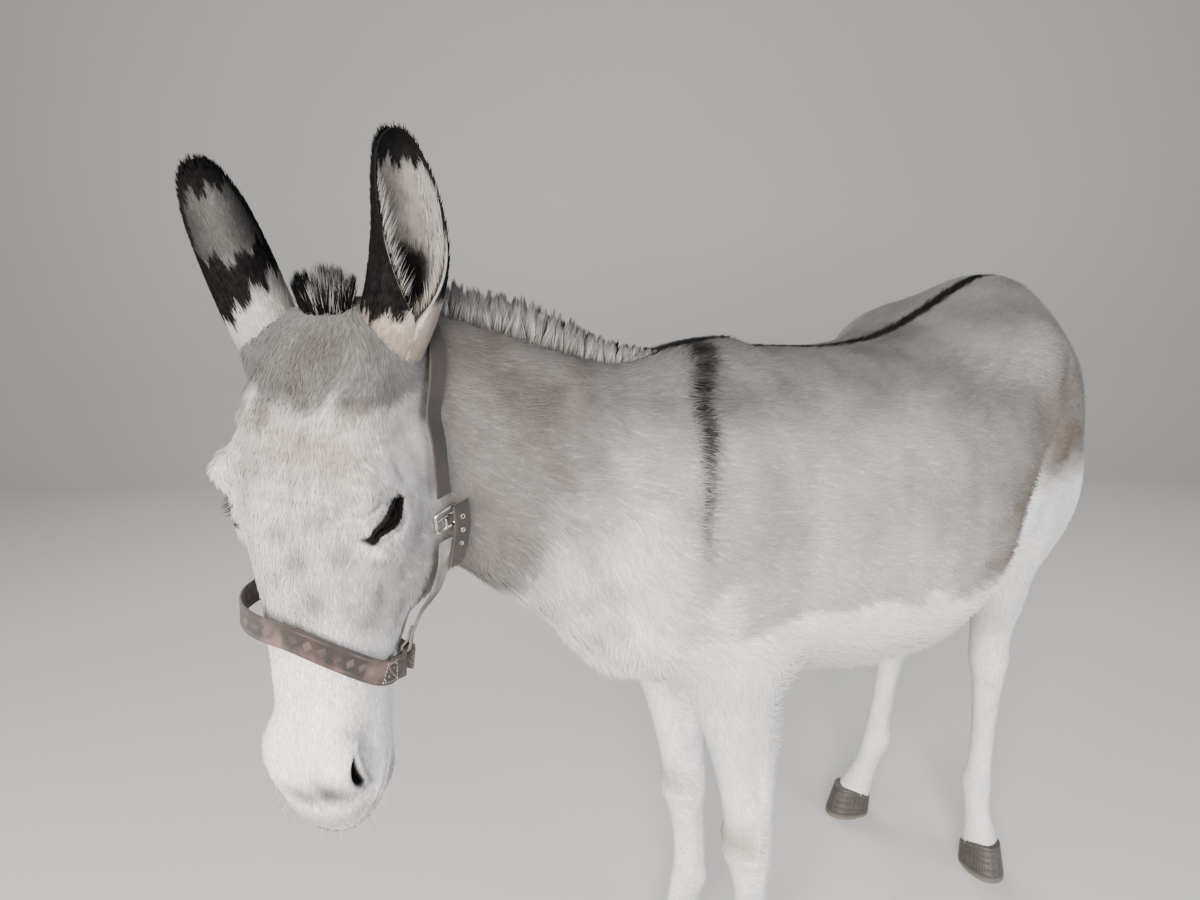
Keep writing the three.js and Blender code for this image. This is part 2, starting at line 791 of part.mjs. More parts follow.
// ---------------------------------------------------------------- mane, forelock and tail
function mane() {
  const [height, thickness] = [1, 2].map((i) => profile(MANE.stations, i));
  const [from, to] = [MANE.stations[0][0], MANE.stations[MANE.stations.length - 1][0]];
  const rings = Array.from({ length: MANE.steps + 1 }, (_, i) => {
    const x = lerp(from, to, i / MANE.steps);
    const tall = height(x);
    const y = neckShift(x);
    const z = neckTop(x);
    const half = thickness(x);
    return [
      vector(x, y + half, z - MANE.sunk),
      vector(x, y + half * 0.7, z + tall * 0.55),
      vector(x, y + 2, z + tall),
      vector(x, y - 2, z + tall),
      vector(x, y - half * 0.7, z + tall * 0.55),
      vector(x, y - half, z - MANE.sunk),
    ];
  });
  return standOn(ringSolid(rings), body, UP);
}

function forelock() {
  const base = onHead(FORELOCK.forward, 0, FORELOCK.down);
  const matrix = new THREE.Matrix4()
    .makeBasis(headWay(1, 0, 0), headWay(0, 1, 0), headWay(0, 0, 1))
    .scale(vector(FORELOCK.depth, FORELOCK.half, FORELOCK.height))
    .setPosition(base);
  return standOn(solidOf(new THREE.SphereGeometry(1, 10, 8), matrix), body, headWay(0, 0, 1));
}

/** A round form through stations of x, z and radius in the middle plane. */
function hanging(stations, sides) {
  const rings = stations.map(([x, z, radius], i) => {
    const before = stations[Math.max(i - 1, 0)];
    const after = stations[Math.min(i + 1, stations.length - 1)];
    const way = vector(after[0] - before[0], 0, after[1] - before[1]).normalize();
    const out = vector(way.z, 0, -way.x);
    return Array.from({ length: sides }, (_, j) => {
      const angle = (2 * Math.PI * j) / sides;
      return vector(x, radius * Math.sin(angle), z).addScaledVector(out, radius * Math.cos(angle));
    });
  });
  return ringSolid(rings);
}

add("mane", mane(), hairDark);
add("forelock", forelock(), hairDark);
add("tail", standOn(hanging(TAIL.dock, 12), trunk, vector(-1, 0, 0.4)), coatGrey);
add("tail_switch", hanging(TAIL.switch, 12), hairDark);

// ---------------------------------------------------------------- headcollar
const capField = blend(34, torsoField, headField);

/** A flat strap along a path of places, each with the way that its outer face looks. */
function strap(path, width) {
  const rings = path.map(({ place, out }, i) => {
    const before = path[Math.max(i - 1, 0)].place;
    const after = path[Math.min(i + 1, path.length - 1)].place;
    const along = after.clone().sub(before).normalize();
    const face = out.clone().addScaledVector(along, -out.dot(along)).normalize();
    const side = vector(0, 0, 0).crossVectors(along, face);
    const corner = (a, b) =>
      place.clone().addScaledVector(side, (a * width) / 2).addScaledVector(face, (b * COLLAR.thick) / 2);
    return [corner(1, 1), corner(-1, 1), corner(-1, -1), corner(1, -1)];
  });
  return ringSolid(rings);
}

/** A place on the side of the head, above the coat. */
function onCheek(forward, down, s, lift = COLLAR.lift) {
  const found = surfacePoint(capField, onHead(forward, 0, down), headWay(0, s, 0), 200);
  const out = normalAt(capField, found);
  return { place: found.addScaledVector(out, lift + COLLAR.thick / 2), out };
}

/** A place round the nose: angle in degrees from straight ahead to the left, and place down the face. */
function roundNose(angle, down, lift, lying = false) {
  const way = headWay(Math.cos(radians(angle)), Math.sin(radians(angle)), 0);
  const found = surfacePoint(capField, onHead(COLLAR.nose.middle, 0, down), way, 200);
  const out = lying ? normalAt(capField, found) : way;
  return { place: found.addScaledVector(out, lift + COLLAR.thick / 2), out };
}

/** How far down the face the noseband lies at an angle round the nose. */
function noseDown(angle) {
  const side = Math.sin(radians(Math.min(Math.max(angle > 180 ? angle - 360 : angle, -90), 90)));
  return COLLAR.nose.down + COLLAR.nose.tip * side + COLLAR.nose.dip * Math.pow(Math.max(side, 0), 2);
}

/** How far the noseband stands off the coat, loose on the right side. */
function noseLift(angle) {
  return COLLAR.lift + COLLAR.nose.slack * Math.pow(0.5 - 0.5 * Math.sin(radians(angle)), 1.5);
}

function noseband() {
  const { ends } = COLLAR.nose;
  const angles = Array.from({ length: 22 }, (_, i) => lerp(-ends, ends, i / 21));
  return strap(angles.map((angle) => roundNose(angle, noseDown(angle), noseLift(angle))), COLLAR.width);
}

function chinStrap() {
  const { from, sag, slack } = COLLAR.chin;
  const path = Array.from({ length: 12 }, (_, i) => {
    const share = i / 11;
    const angle = lerp(from, 360 - from, share);
    const hang = Math.sin(Math.PI * share);
    const down = lerp(noseDown(from), noseDown(-from), share) + sag * hang;
    return roundNose(angle, down, COLLAR.lift + slack * Math.pow(hang, 0.5), true);
  });
  return strap(path, COLLAR.width);
}

/** A ring of round wire lying flat against the coat at a place. */
function wireRing({ place, out }, radius, wire) {
  const turn = new THREE.Quaternion().setFromUnitVectors(UP, out);
  return solidOf(
    new THREE.TorusGeometry(radius, wire, 5, 12),
    new THREE.Matrix4().compose(place, turn, vector(1, 1, 1)),
  );
}

function crownArc() {
  const { forward, down, tilt, ends } = COLLAR.crown;
  const from = onHead(forward, 0, down);
  return Array.from({ length: 15 }, (_, i) => {
    const angle = radians(lerp(ends, -ends, i / 14));
    const rise = Math.cos(angle);
    const lean = radians(tilt);
    const way = headWay(-rise * Math.sin(lean), Math.sin(angle), rise * Math.cos(lean));
    const found = surfacePoint(capField, from, way, 200);
    const out = normalAt(capField, found);
    return { place: found.addScaledVector(out, COLLAR.lift + COLLAR.thick / 2), out };
  });
}

/** The buckle: a frame of flat wire round the strap, with its long side across it. */
function buckle() {
  const { forward, down, width, height, wire } = COLLAR.buckle;
  const { place, out } = onCheek(forward, down, 1);
  const below = onCheek(forward - 8, down + 20, 1).place;
  const along = below.sub(place);
  along.addScaledVector(out, -along.dot(out)).normalize();
  const across = vector(0, 0, 0).crossVectors(along, out);
  const outline = new THREE.Shape();
  const [w, h] = [width / 2, height / 2];
  outline.moveTo(-w, -h).lineTo(w, -h).lineTo(w, h).lineTo(-w, h).closePath();
  const window = new THREE.Path();
  const [iw, ih] = [w - wire, h - wire];
  window.moveTo(-iw, -ih).lineTo(-iw, ih).lineTo(iw, ih).lineTo(iw, -ih).closePath();
  outline.holes.push(window);
  const frame = new THREE.ExtrudeGeometry(outline, { depth: COLLAR.thick, bevelEnabled: false });
  frame.translate(0, 0, -COLLAR.thick / 2);
  return solidOf(frame, new THREE.Matrix4().makeBasis(across, along, out).setPosition(place));
}

const cheekPath = (places, s, lift = COLLAR.lift + 2) =>
  places.map(([forward, down]) => onCheek(forward, down, s, lift));

add("noseband", noseband(), webbing);
add("chin_strap", chinStrap(), webbing);
const headpiece = [
  ...cheekPath(COLLAR.cheek, 1).reverse(),
  ...crownArc(),
  ...cheekPath(COLLAR.cheek, -1),
];
add("headpiece", strap(headpiece, COLLAR.narrow), webbing);
add("buckle", buckle(), steel);
add("strap_end", strap(cheekPath(COLLAR.end.places, 1, COLLAR.end.lift), COLLAR.narrow), webbing);
for (const [name, s] of [["left", 1], ["right", -1]]) {
  add(`cheek_strap_${name}`, strap(cheekPath(COLLAR.lower[name], s), COLLAR.narrow), webbing);
  const angle = s * COLLAR.ring.at;
  const seat = roundNose(angle, noseDown(angle), COLLAR.lift, true);
  add(`ring_${name}`, wireRing(seat, COLLAR.ring.radius, COLLAR.ring.wire), steel);
}

// ---------------------------------------------------------------- placing
const box = new THREE.Box3().setFromObject(donkey);
const centre = box.getCenter(vector(0, 0, 0));
donkey.position.set(-centre.x, -centre.y, -box.min.z);

export default donkey;
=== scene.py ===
"""A standing donkey with its head lowered and turned to its left, in a webbing headcollar.

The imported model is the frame. The flesh is one skin over the same forms as the solids, drawn in by the
depth of the coat. Hair, eyes, hooves and headcollar are laid on it. Sizes are in millimetres in the body's
own layout (X to the chest, Y to the left, Z up, from the ground under the withers) and go to metres once.
"""
import math

import bmesh
import bpy
import numpy as np
from mathutils import Matrix, Vector


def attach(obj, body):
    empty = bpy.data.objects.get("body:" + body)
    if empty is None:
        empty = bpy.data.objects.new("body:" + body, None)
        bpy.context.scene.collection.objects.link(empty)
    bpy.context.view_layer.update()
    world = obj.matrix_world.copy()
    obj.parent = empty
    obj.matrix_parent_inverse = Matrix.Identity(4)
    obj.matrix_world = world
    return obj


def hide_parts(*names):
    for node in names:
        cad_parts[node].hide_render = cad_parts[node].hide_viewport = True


bl_info = {
    "name": "Standing Donkey",
    "version": (1, 0, 0),
    "blender": (4, 5, 0),
    "location": "View3D > Sidebar > Donkey",
    "description": "Builds the skin, coat, eyes, hooves and headcollar of a standing donkey",
    "category": "Add Mesh",
}

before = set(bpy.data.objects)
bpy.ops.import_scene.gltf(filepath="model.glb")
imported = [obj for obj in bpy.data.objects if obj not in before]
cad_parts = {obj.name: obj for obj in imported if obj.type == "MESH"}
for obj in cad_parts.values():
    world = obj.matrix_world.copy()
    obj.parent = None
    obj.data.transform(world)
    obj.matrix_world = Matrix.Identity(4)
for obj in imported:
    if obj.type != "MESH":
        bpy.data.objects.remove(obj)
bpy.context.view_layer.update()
MM = 0.001
WITHERS = np.array([123.922, 0.0, 0.0])  # the withers stand this far ahead of the middle of the whole
SHARED = {}  # what one operator makes and another needs

# ---------------------------------------------------------------- sizes of the body
# trunk: x, top, bottom, half width, height of the widest level
TRUNK = [
    [205, 890, 690, 50, 795], [175, 945, 642, 95, 780], [110, 1005, 600, 138, 765], [40, 1038, 580, 158, 762],
    [-40, 1050, 575, 172, 755], [-150, 1042, 552, 202, 742], [-260, 1036, 532, 228, 735],
    [-370, 1046, 540, 240, 745], [-470, 1076, 584, 230, 782], [-560, 1112, 645, 205, 838],
    [-640, 1134, 675, 174, 875], [-705, 1120, 735, 138, 885], [-758, 1062, 780, 92, 890], [-792, 975, 830, 40, 900],
]
# neck: the same, and the sideways shift
NECK = [
    [-40, 1040, 650, 100, 840, 0], [60, 1040, 640, 112, 830, 0], [150, 1041, 652, 102, 845, 6],
    [240, 1064, 712, 88, 890, 22], [330, 1094, 786, 76, 945, 42], [420, 1118, 866, 68, 998, 64],
    [495, 1118, 930, 58, 1030, 88],
]
POLL = np.array([525.0, 92.0, 1118.0])
YAW, NOD = 35.0, -5.0
SWING = {"most": 9.0, "from": 320.0, "to": 440.0}  # the muzzle swings a little to the left
# head: distance down from the poll, front, back, half width, level of the widest part
HEAD = [
    [-12, -20, -52, 22, -38], [0, 4, -80, 46, -38], [25, 26, -105, 62, -30], [70, 44, -122, 76, -18],
    [120, 53, -140, 84, -14], [165, 55, -158, 86, -16], [215, 51, -162, 77, -26], [265, 46, -142, 66, -30],
    [310, 43, -108, 57, -26], [355, 42, -86, 52, -18], [400, 45, -76, 48, -10], [440, 45, -70, 48, -6],
    [468, 36, -56, 43, -6], [488, 18, -34, 30, -6], [496, 4, -16, 12, -6],
]
# limbs: height, the centre's x and y, half depth fore and aft, half width
FORELEG = [
    [740, 10, -20, 100, 46], [690, 10, -6, 96, 56], [640, 8, 4, 86, 58], [570, 12, 8, 68, 50],
    [500, 1, 8, 55, 43], [430, -8, 6, 45, 38], [375, -12, 4, 39, 35], [345, -12, 3, 39, 37],
    [315, -12, 2, 39, 37], [285, -15, 2, 33, 31], [245, -18, 2, 28, 25], [200, -20, 1, 27, 24],
    [165, -20, 1, 29, 26], [143, -18, 0, 33, 29], [115, -9, 0, 30, 26], [90, 0, 0, 28, 25], [66, 9, 0, 33, 30],
    [45, 14, 0, 37, 33], [20, 18, 0, 40, 35],
]
HINDLEG = [
    [800, 45, -25, 120, 60], [740, 44, -8, 140, 68], [680, 42, 2, 128, 66], [620, 24, 4, 112, 58],
    [560, 8, 2, 84, 48], [510, -8, -2, 64, 40], [468, -12, -4, 52, 36], [432, -10, -3, 45, 36],
    [398, -8, -2, 37, 31], [355, -8, -1, 30, 26], [300, -9, 0, 26, 23], [240, -11, 0, 25, 22],
    [188, -13, 0, 27, 24], [158, -17, 0, 32, 28], [126, -9, 0, 29, 25], [96, 2, 0, 28, 25], [68, 13, 0, 32, 29],
    [45, 19, 0, 36, 32], [20, 23, 0, 39, 34],
]
# each limb: its rows, side, where the pastern stands, degrees turned out, shift of the leg's top
LIMBS = {
    "foreleg_left": (FORELEG, 1, (-42, 88), 8, (46, 8)),
    "foreleg_right": (FORELEG, -1, (-46, -72), 8, (8, 18)),
    "hindleg_left": (HINDLEG, 1, (-676, 72), 62, (26, 4)),
    "hindleg_right": (HINDLEG, -1, (-614, -162), 10, (-78, -62)),
}
DOCK = [[-745, 1032, 26], [-786, 1014, 26], [-818, 972, 23], [-832, 908, 20], [-836, 830, 18], [-833, 735, 16]]
HOOF = {"toe": 58, "heel": 36, "half": 38, "taper": 0.84, "rake": 12, "front": 64, "back": 36}
# the crease between barrel and thigh, as heights and how far forward it lies
FOLD = ([640, 687, 726, 783, 833, 884, 946, 1010], [-330, -371, -407, -437, -491, -545, -566, -590])
EYE = {"radius": 19.0, "forward": 6.0, "side": 69.0, "down": 179.0, "slope": 47.0}


# ---------------------------------------------------------------- forms as signed fields
def profile(rows, column):
    """Smooth curve through one column of a station table, as a function of its first column."""
    rows = sorted(rows)
    knots = np.array([r[0] for r in rows], float)
    values = np.array([r[column] for r in rows], float)
    below = np.maximum(np.arange(len(rows)) - 1, 0)
    above = np.minimum(np.arange(len(rows)) + 1, len(rows) - 1)
    slopes = (values[above] - values[below]) / (knots[above] - knots[below])
    x = np.linspace(knots[0], knots[-1], 1500)
    i = np.clip(np.searchsorted(knots, x, side="right") - 1, 0, len(rows) - 2)
    span = knots[i + 1] - knots[i]
    f = np.clip((x - knots[i]) / span, 0, 1)
    g = 1 - f
    y = values[i] * (1 + 2 * f) * g * g + slopes[i] * span * f * g * g
    y += values[i + 1] * f * f * (3 - 2 * f) - slopes[i + 1] * span * f * f * g
    return lambda at: np.interp(at, x, y)


def step(low, high, x):
    """Rises smoothly from 0 at low to 1 at high."""
    t = np.clip((x - low) / (high - low), 0, 1)
    return t * t * (3 - 2 * t)


def smooth(a, b, k):
    """The union of two fields with a fillet of size k."""
    h = np.maximum(k - np.abs(a - b), 0) / k
    return np.minimum(a, b) - h * h * k * 0.25


def blend(k, first, *others):
    """Several forms blended together with one fillet size."""
    def field(p):
        d = first(p)
        for form in others:
            d = smooth(d, form(p), k)
        return d
    return field


def egg(centre, radii, turn=0.0):
    """An ellipsoid at a centre, with its radii and a turn in degrees about Y."""
    cos, sin = math.cos(math.radians(turn)), math.sin(math.radians(turn))

    def field(p):
        x, y, z = (p[:, i] - centre[i] for i in range(3))
        q = np.stack([cos * x - sin * z, y, sin * x + cos * z], 1) / np.array(radii, float)
        near = np.linalg.norm(q, axis=1)
        slope = np.linalg.norm(q / np.array(radii, float), axis=1)
        return near * (near - 1) / np.maximum(slope, 1e-9)
    return field


def oval(u, v, ru, rv, power):
    """Distance outside a superellipse with half sizes ru and rv."""
    n = (np.abs(u / ru) ** power + np.abs(v / rv) ** power) ** (1 / power)
    return np.hypot(u, v) * (1 - 1 / np.maximum(n, 1e-6))


def loft(rows, top_power, bottom_power):
    """A form lofted along a straight axis, as a function of along, up and side."""
    top, bottom, half, level = (profile(rows, i) for i in (1, 2, 3, 4))
    low, high = min(r[0] for r in rows), max(r[0] for r in rows)

    def field(along, up, side):
        t = np.clip(along, low, high)
        rise = up - level(t)
        reach = np.where(rise > 0, top(t) - level(t), level(t) - bottom(t))
        power = np.where(rise > 0, top_power, bottom_power)
        d = oval(rise, side, reach, half(t), power)
        beyond = np.abs(along - t)
        return np.where(beyond > 0, np.hypot(np.maximum(d, 0), beyond), d)
    return field


def trunk_core():
    form = loft(TRUNK, 2.1, 2.1)
    return lambda p: form(p[:, 0], p[:, 2], p[:, 1])


def shoulder(s):
    return blend(40, egg((45, s * 92, 835), (78, 46, 132), 20), egg((118, s * 92, 722), (82, 56, 72), 10),
                 egg((10, s * 108, 672), (95, 50, 78)))


def haunch(s):
    return blend(40, egg((-548, s * 118, 1000), (92, 72, 62)), egg((-668, s * 88, 922), (112, 78, 122)),
                 egg((-655, s * 106, 800), (138, 72, 150), 12), egg((-738, s * 58, 850), (54, 50, 105)),
                 egg((-600, s * 124, 712), (72, 52, 84), -18), egg((-732, s * 92, 720), (56, 48, 120), -10))


neck_shift = profile(NECK, 5)
neck_top = profile(NECK, 1)


def neck_core():
    form = loft(NECK, 2.1, 2.1)
    return lambda p: form(p[:, 0], p[:, 2], p[:, 1] - neck_shift(p[:, 0]))


def turned(axis, degrees):
    return np.array(Matrix.Rotation(math.radians(degrees), 3, axis))


HEAD_AXES = turned("Z", YAW) @ turned("Y", NOD)  # columns: forward, left, up of the head


def swing(down):
    return SWING["most"] * step(SWING["from"], SWING["to"], down)


def in_head(p):
    """Places in the head's own axes: forward, left, up from the poll."""
    q = (p - POLL) @ HEAD_AXES
    q[:, 1] -= swing(-q[:, 2])
    return q


def on_head(forward, left, down):
    """A place given as forward of the poll line, to the left, and down towards the muzzle."""
    return POLL + HEAD_AXES @ np.array([forward, left + swing(down), -down], float)


def head_way(forward, left, up):
    v = HEAD_AXES @ np.array([forward, left, up], float)
    return v / np.linalg.norm(v)


def face(s):
    return blend(14, egg((24, s * 72, -146), (28, 24, 22)), egg((-4, s * 76, -186), (34, 14, 36)),
                 egg((-93, s * 48, -208), (68, 28, 80)), egg((27, s * 34, -412), (17, 17, 31)))


def head_form():
    core = loft(HEAD, 2.5, 1.9)
    own = blend(22, lambda q: core(-q[:, 2], q[:, 0], q[:, 1]), face(1), face(-1), egg((-44, 0, -456), (28, 30, 24)))
    return lambda p: own(in_head(p))


def limb_axes(rows, side, place, turn, lean):
    """The centre and heading of a limb's level section, as a function of height."""
    cx, cy = profile(rows, 1), profile(rows, 2)
    low, high = rows[-1][0], rows[0][0]

    def at(z):
        raised = np.clip((z - low) / (high - low), 0, 1)
        angle = math.radians(turn) * side * (1 - raised) ** 0.8
        c, s = np.cos(angle), np.sin(angle)
        out = cy(z) * side
        x = place[0] + lean[0] * raised + cx(z) * c - out * s
        y = place[1] + lean[1] * raised * side + cx(z) * s + out * c
        return x, y, c, s
    return at


def limb_form(rows, side, place, turn, lean):
    at = limb_axes(rows, side, place, turn, lean)
    depth, half = profile(rows, 3), profile(rows, 4)
    low, high = rows[-1][0], rows[0][0]

    def field(p):
        level = np.clip(p[:, 2], low, high)
        ox, oy, c, s = at(level)
        u = (p[:, 0] - ox) * c + (p[:, 1] - oy) * s
        v = (p[:, 1] - oy) * c - (p[:, 0] - ox) * s
        d = oval(u, v, depth(level), half(level), 2)
        beyond = np.abs(p[:, 2] - level)
        return np.where(beyond > 0, np.hypot(np.maximum(d, 0), beyond), d)
    return field


def tail_form():
    """The dock as a round form through its stations."""
    points = np.array([[x, 0, z] for x, z, _ in DOCK], float)
    radii = np.array([r for _, _, r in DOCK], float)

    def field(p):
        best = np.full(len(p), 1e9)
        for a, b, ra, rb in zip(points, points[1:], radii, radii[1:]):
            t = np.clip((p - a) @ (b - a) / ((b - a) @ (b - a)), 0, 1)
            d = np.linalg.norm(p - a - t[:, None] * (b - a), axis=1) - (ra + (rb - ra) * t)
            best = smooth(best, d, 8)
        return best
    return field


LIMB_FIELDS = {name: limb_form(*spec) for name, spec in LIMBS.items()}
torso_field = blend(65, trunk_core(), shoulder(1), shoulder(-1), haunch(1), haunch(-1), neck_core())
head_field = head_form()
cap_field = blend(34, torso_field, head_field)
tail_field = tail_form()


def whole_field(p):
    """The outline of the whole animal out to the tips of the coat, without ears."""
    d = cap_field(p)
    for field in LIMB_FIELDS.values():
        near = field(p)
        d = np.where(p[:, 2] > 760, d, smooth(d, near, 34))
    return smooth(d, tail_field(p), 14)


# ---------------------------------------------------------------- meshing
CORNERS = [(i, j, k) for i in (0, 1) for j in (0, 1) for k in (0, 1)]


def surface_net(field, low, high, pitch):
    """A mesh of quads over the zero of a field, one point in each cell that it crosses."""
    counts = np.ceil((high - low) / pitch).astype(int) + 1
    axes = [low[i] + pitch * np.arange(counts[i]) for i in range(3)]
    values = np.empty(counts, np.float32)
    for i, x in enumerate(axes[0]):
        y, z = np.meshgrid(axes[1], axes[2], indexing="ij")
        values[i] = field(np.stack([np.full(y.size, x), y.ravel(), z.ravel()], 1)).reshape(y.shape)
    inside = values < 0
    n = np.array(values.shape) - 1
    cut = lambda a, c: a[c[0]:c[0] + n[0], c[1]:c[1] + n[1], c[2]:c[2] + n[2]]
    filled = sum(cut(inside, c).astype(np.int8) for c in CORNERS)
    cells = np.argwhere((filled > 0) & (filled < 8))
    total, crossings = np.zeros((len(cells), 3)), np.zeros(len(cells))
    corner = [values[tuple((cells + c).T)] for c in CORNERS]
    for a, ca in enumerate(CORNERS):
        for b, cb in enumerate(CORNERS):
            if b <= a or sum(abs(x - y) for x, y in zip(ca, cb)) != 1:
                continue
            va, vb = corner[a], corner[b]
            hit = (va < 0) != (vb < 0)
            t = np.where(hit, va / np.where(hit, va - vb, 1), 0)
            place = np.array(ca) + t[:, None] * (np.array(cb) - np.array(ca))
            total += np.where(hit[:, None], place, 0)
            crossings += hit
    points = low + pitch * (cells + total / crossings[:, None])
    number = np.full(n, -1, np.int64)
    number[tuple(cells.T)] = np.arange(len(cells))
    quads = []
    for axis in range(3):
        other = [i for i in range(3) if i != axis]
        step_on = np.eye(3, dtype=int)
        lower = np.argwhere(np.diff(inside.astype(np.int8), axis=axis) != 0)
        keep = np.all((lower[:, other] > 0) & (lower[:, other] < n[other]), axis=1)
        lower = lower[keep]
        u, v = step_on[other[0]], step_on[other[1]]
        ring = [lower - u - v, lower - v, lower, lower - u]
        quad = np.stack([number[tuple(r.T)] for r in ring], 1)
        outward = inside[tuple(lower.T)] ^ (axis == 1)
        quad[~outward] = quad[~outward][:, ::-1]
        quads.append(quad)
    quads = np.concatenate(quads)
    return points, quads[np.all(quads >= 0, axis=1)]


def gradient(field, p, e=1.5):
    """The outward slope of a field at each place."""
    g = np.empty_like(p)
    for i in range(3):
        d = np.zeros(3)
        d[i] = e
        g[:, i] = (field(p + d) - field(p - d)) / (2 * e)
    return g


def settle(field, p, rounds=3, most=6.0):
    """Moves places onto the zero of a field."""
    for _ in range(rounds):
        g = gradient(field, p)
        move = -field(p)[:, None] * g / np.maximum((g * g).sum(1), 1e-4)[:, None]
        size = np.linalg.norm(move, axis=1, keepdims=True)
        p = p + move * np.minimum(1, most / np.maximum(size, 1e-9))
    return p


def edges_of(quads):
    sides = np.concatenate([quads[:, [i, (i + 1) % quads.shape[1]]] for i in range(quads.shape[1])])
    sides.sort(axis=1)
    return np.unique(sides, axis=0)


def relax(points, edges, rounds, share=0.5, weight=None):
    """Moves each point towards the middle of its neighbours."""
    count = np.bincount(edges.ravel(), minlength=len(points))[:, None]
    weight = share if weight is None else share * weight[:, None]
    for _ in range(rounds):
        total = np.stack([
            np.bincount(edges[:, 0], points[edges[:, 1], i], len(points))
            + np.bincount(edges[:, 1], points[edges[:, 0], i], len(points)) for i in range(3)], 1)
        points = points + weight * (total / np.maximum(count, 1) - points)
    return points


def point_normals(points, faces):
    """Unit normals at the points of a mesh of triangles or quads."""
    a, b, c = points[faces[:, 0]], points[faces[:, 1]], points[faces[:, 2]]
    n = np.cross(b - a, c - a)
    if faces.shape[1] == 4:
        n = np.cross(c - a, points[faces[:, 3]] - b)
    total = np.zeros_like(points)
    for j in range(faces.shape[1]):
        for i in range(3):
            total[:, i] += np.bincount(faces[:, j], n[:, i], len(points))
    return total / np.maximum(np.linalg.norm(total, axis=1, keepdims=True), 1e-12)


def refine(points, faces, chosen):
    """Splits the chosen faces in four, and fits their neighbours to them with triangles."""
    mesh = bpy.data.meshes.new("refine")
    mesh.from_pydata(points.tolist(), [], faces)
    bm = bmesh.new()
    bm.from_mesh(mesh)
    bm.faces.ensure_lookup_table()
    edges = {e for i in np.nonzero(chosen)[0] for e in bm.faces[int(i)].edges}
    bmesh.ops.subdivide_edges(bm, edges=list(edges), cuts=1, use_grid_fill=True)
    bmesh.ops.triangulate(bm, faces=[f for f in bm.faces if len(f.verts) > 4])
    bm.verts.index_update()
    out = np.array([v.co[:] for v in bm.verts], float)
    result = [[v.index for v in f.verts] for f in bm.faces]
    bm.free()
    bpy.data.meshes.remove(mesh)
    return out, result


def as_triangles(faces):
    tris = []
    for f in faces:
        tris.append(f[:3])
        if len(f) == 4:
            tris.append([f[0], f[2], f[3]])
    return np.array(tris)


def outward(points, tris):
    """The same triangles turned so that the closed form's volume is positive."""
    a, b, c = (points[tris[:, k]] - points.mean(0) for k in range(3))
    return tris if (a * np.cross(b, c)).sum() > 0 else tris[:, ::-1]


def make_mesh(name, points, faces):
    """A mesh object from places in the body's layout, in millimetres."""
    mesh = bpy.data.meshes.new(name)
    points = (np.asarray(points) + WITHERS) * MM
    faces = np.asarray(faces)
    mesh.vertices.add(len(points))
    mesh.vertices.foreach_set("co", points.ravel().astype(np.float32))
    sides = faces.shape[1]
    mesh.loops.add(faces.size)
    mesh.loops.foreach_set("vertex_index", faces.ravel().astype(np.int32))
    mesh.polygons.add(len(faces))
    mesh.polygons.foreach_set("loop_start", np.arange(0, faces.size, sides, dtype=np.int32))
    mesh.polygons.foreach_set("loop_total", np.full(len(faces), sides, np.int32))
    mesh.polygons.foreach_set("use_smooth", np.ones(len(faces), bool))
    mesh.update(calc_edges=True)
    piece = bpy.data.objects.new(name, mesh)
    bpy.context.collection.objects.link(piece)
    return piece


def store(piece, name, values):
    """Keeps one value for each point of a mesh."""
    layer = piece.data.attributes.new(name, "FLOAT", "POINT")
    layer.data.foreach_set("value", np.asarray(values, np.float32))


# ---------------------------------------------------------------- the coat's depth and markings
def head_share(p):
    """1 on the head and 0 on the neck and body."""
    q = in_head(p)
    ahead = q[:, 0] * 0.964 - q[:, 2] * 0.265 + 79
    return step(-30, 40, ahead) * (p[:, 0] > 350)


def coat_depth(p):
    """How far the skin lies under the tips of the coat, in millimetres."""
    q = in_head(p)
    head = head_share(p)
    down = -q[:, 2]
    depth = 6.0 + 3.0 * step(700, 600, p[:, 2]) * step(-560, -300, p[:, 0])
    low = step(620, 420, p[:, 2])
    depth = depth + (2.6 - depth) * low * (1 - head)
    face = 3.2 - 1.4 * step(330, 430, down)
    jaw = 4.5 - 2.5 * step(260, 400, down)
    on_head = face + (jaw - face) * step(-20, -70, q[:, 0])
    return depth + (on_head - depth) * head


# each ear: its root and reach as forward, out, down or up; which way it opens; the bow and sway of its middle
EARS = {
    1: {"root": (-37, 49, 41), "reach": (43.6, 46.7, 191), "opening": 62, "bow": -6, "sway": 15, "girth": 1.0},
    -1: {"root": (-27, 66, 44), "reach": (42.6, 54, 178), "opening": 140, "bow": 2, "sway": 0, "girth": 0.92},
}
# share of the length, outer radius, inner radius, half angle of the curl
EAR_ROWS = [
    [0, 33, 3, 178], [0.12, 35, 12, 178], [0.24, 36, 26, 168], [0.35, 36, 29.5, 144], [0.48, 35.5, 30, 120],
    [0.62, 34, 29, 100], [0.75, 31.5, 27, 88], [0.86, 27, 23, 80], [0.93, 22, 18.5, 74], [0.975, 15.5, 12.5, 70],
    [1, 8, 5, 66],
]


def ear_base(s):
    """The round of flesh that an ear grows out of."""
    forward, out, down = EARS[s]["root"]
    size = EARS[s]["girth"]
    return lambda p: egg((forward + 5, s * out, -down + 6), (36 * size, 32 * size, 38 * size))(in_head(p))


EAR_BASES = (ear_base(1), ear_base(-1))


def skin_field(p):
    """Zero on the skin, under the coat."""
    d = whole_field(p) + coat_depth(p)
    for base in EAR_BASES:
        d = smooth(d, base(p) + 2, 22)
    return d


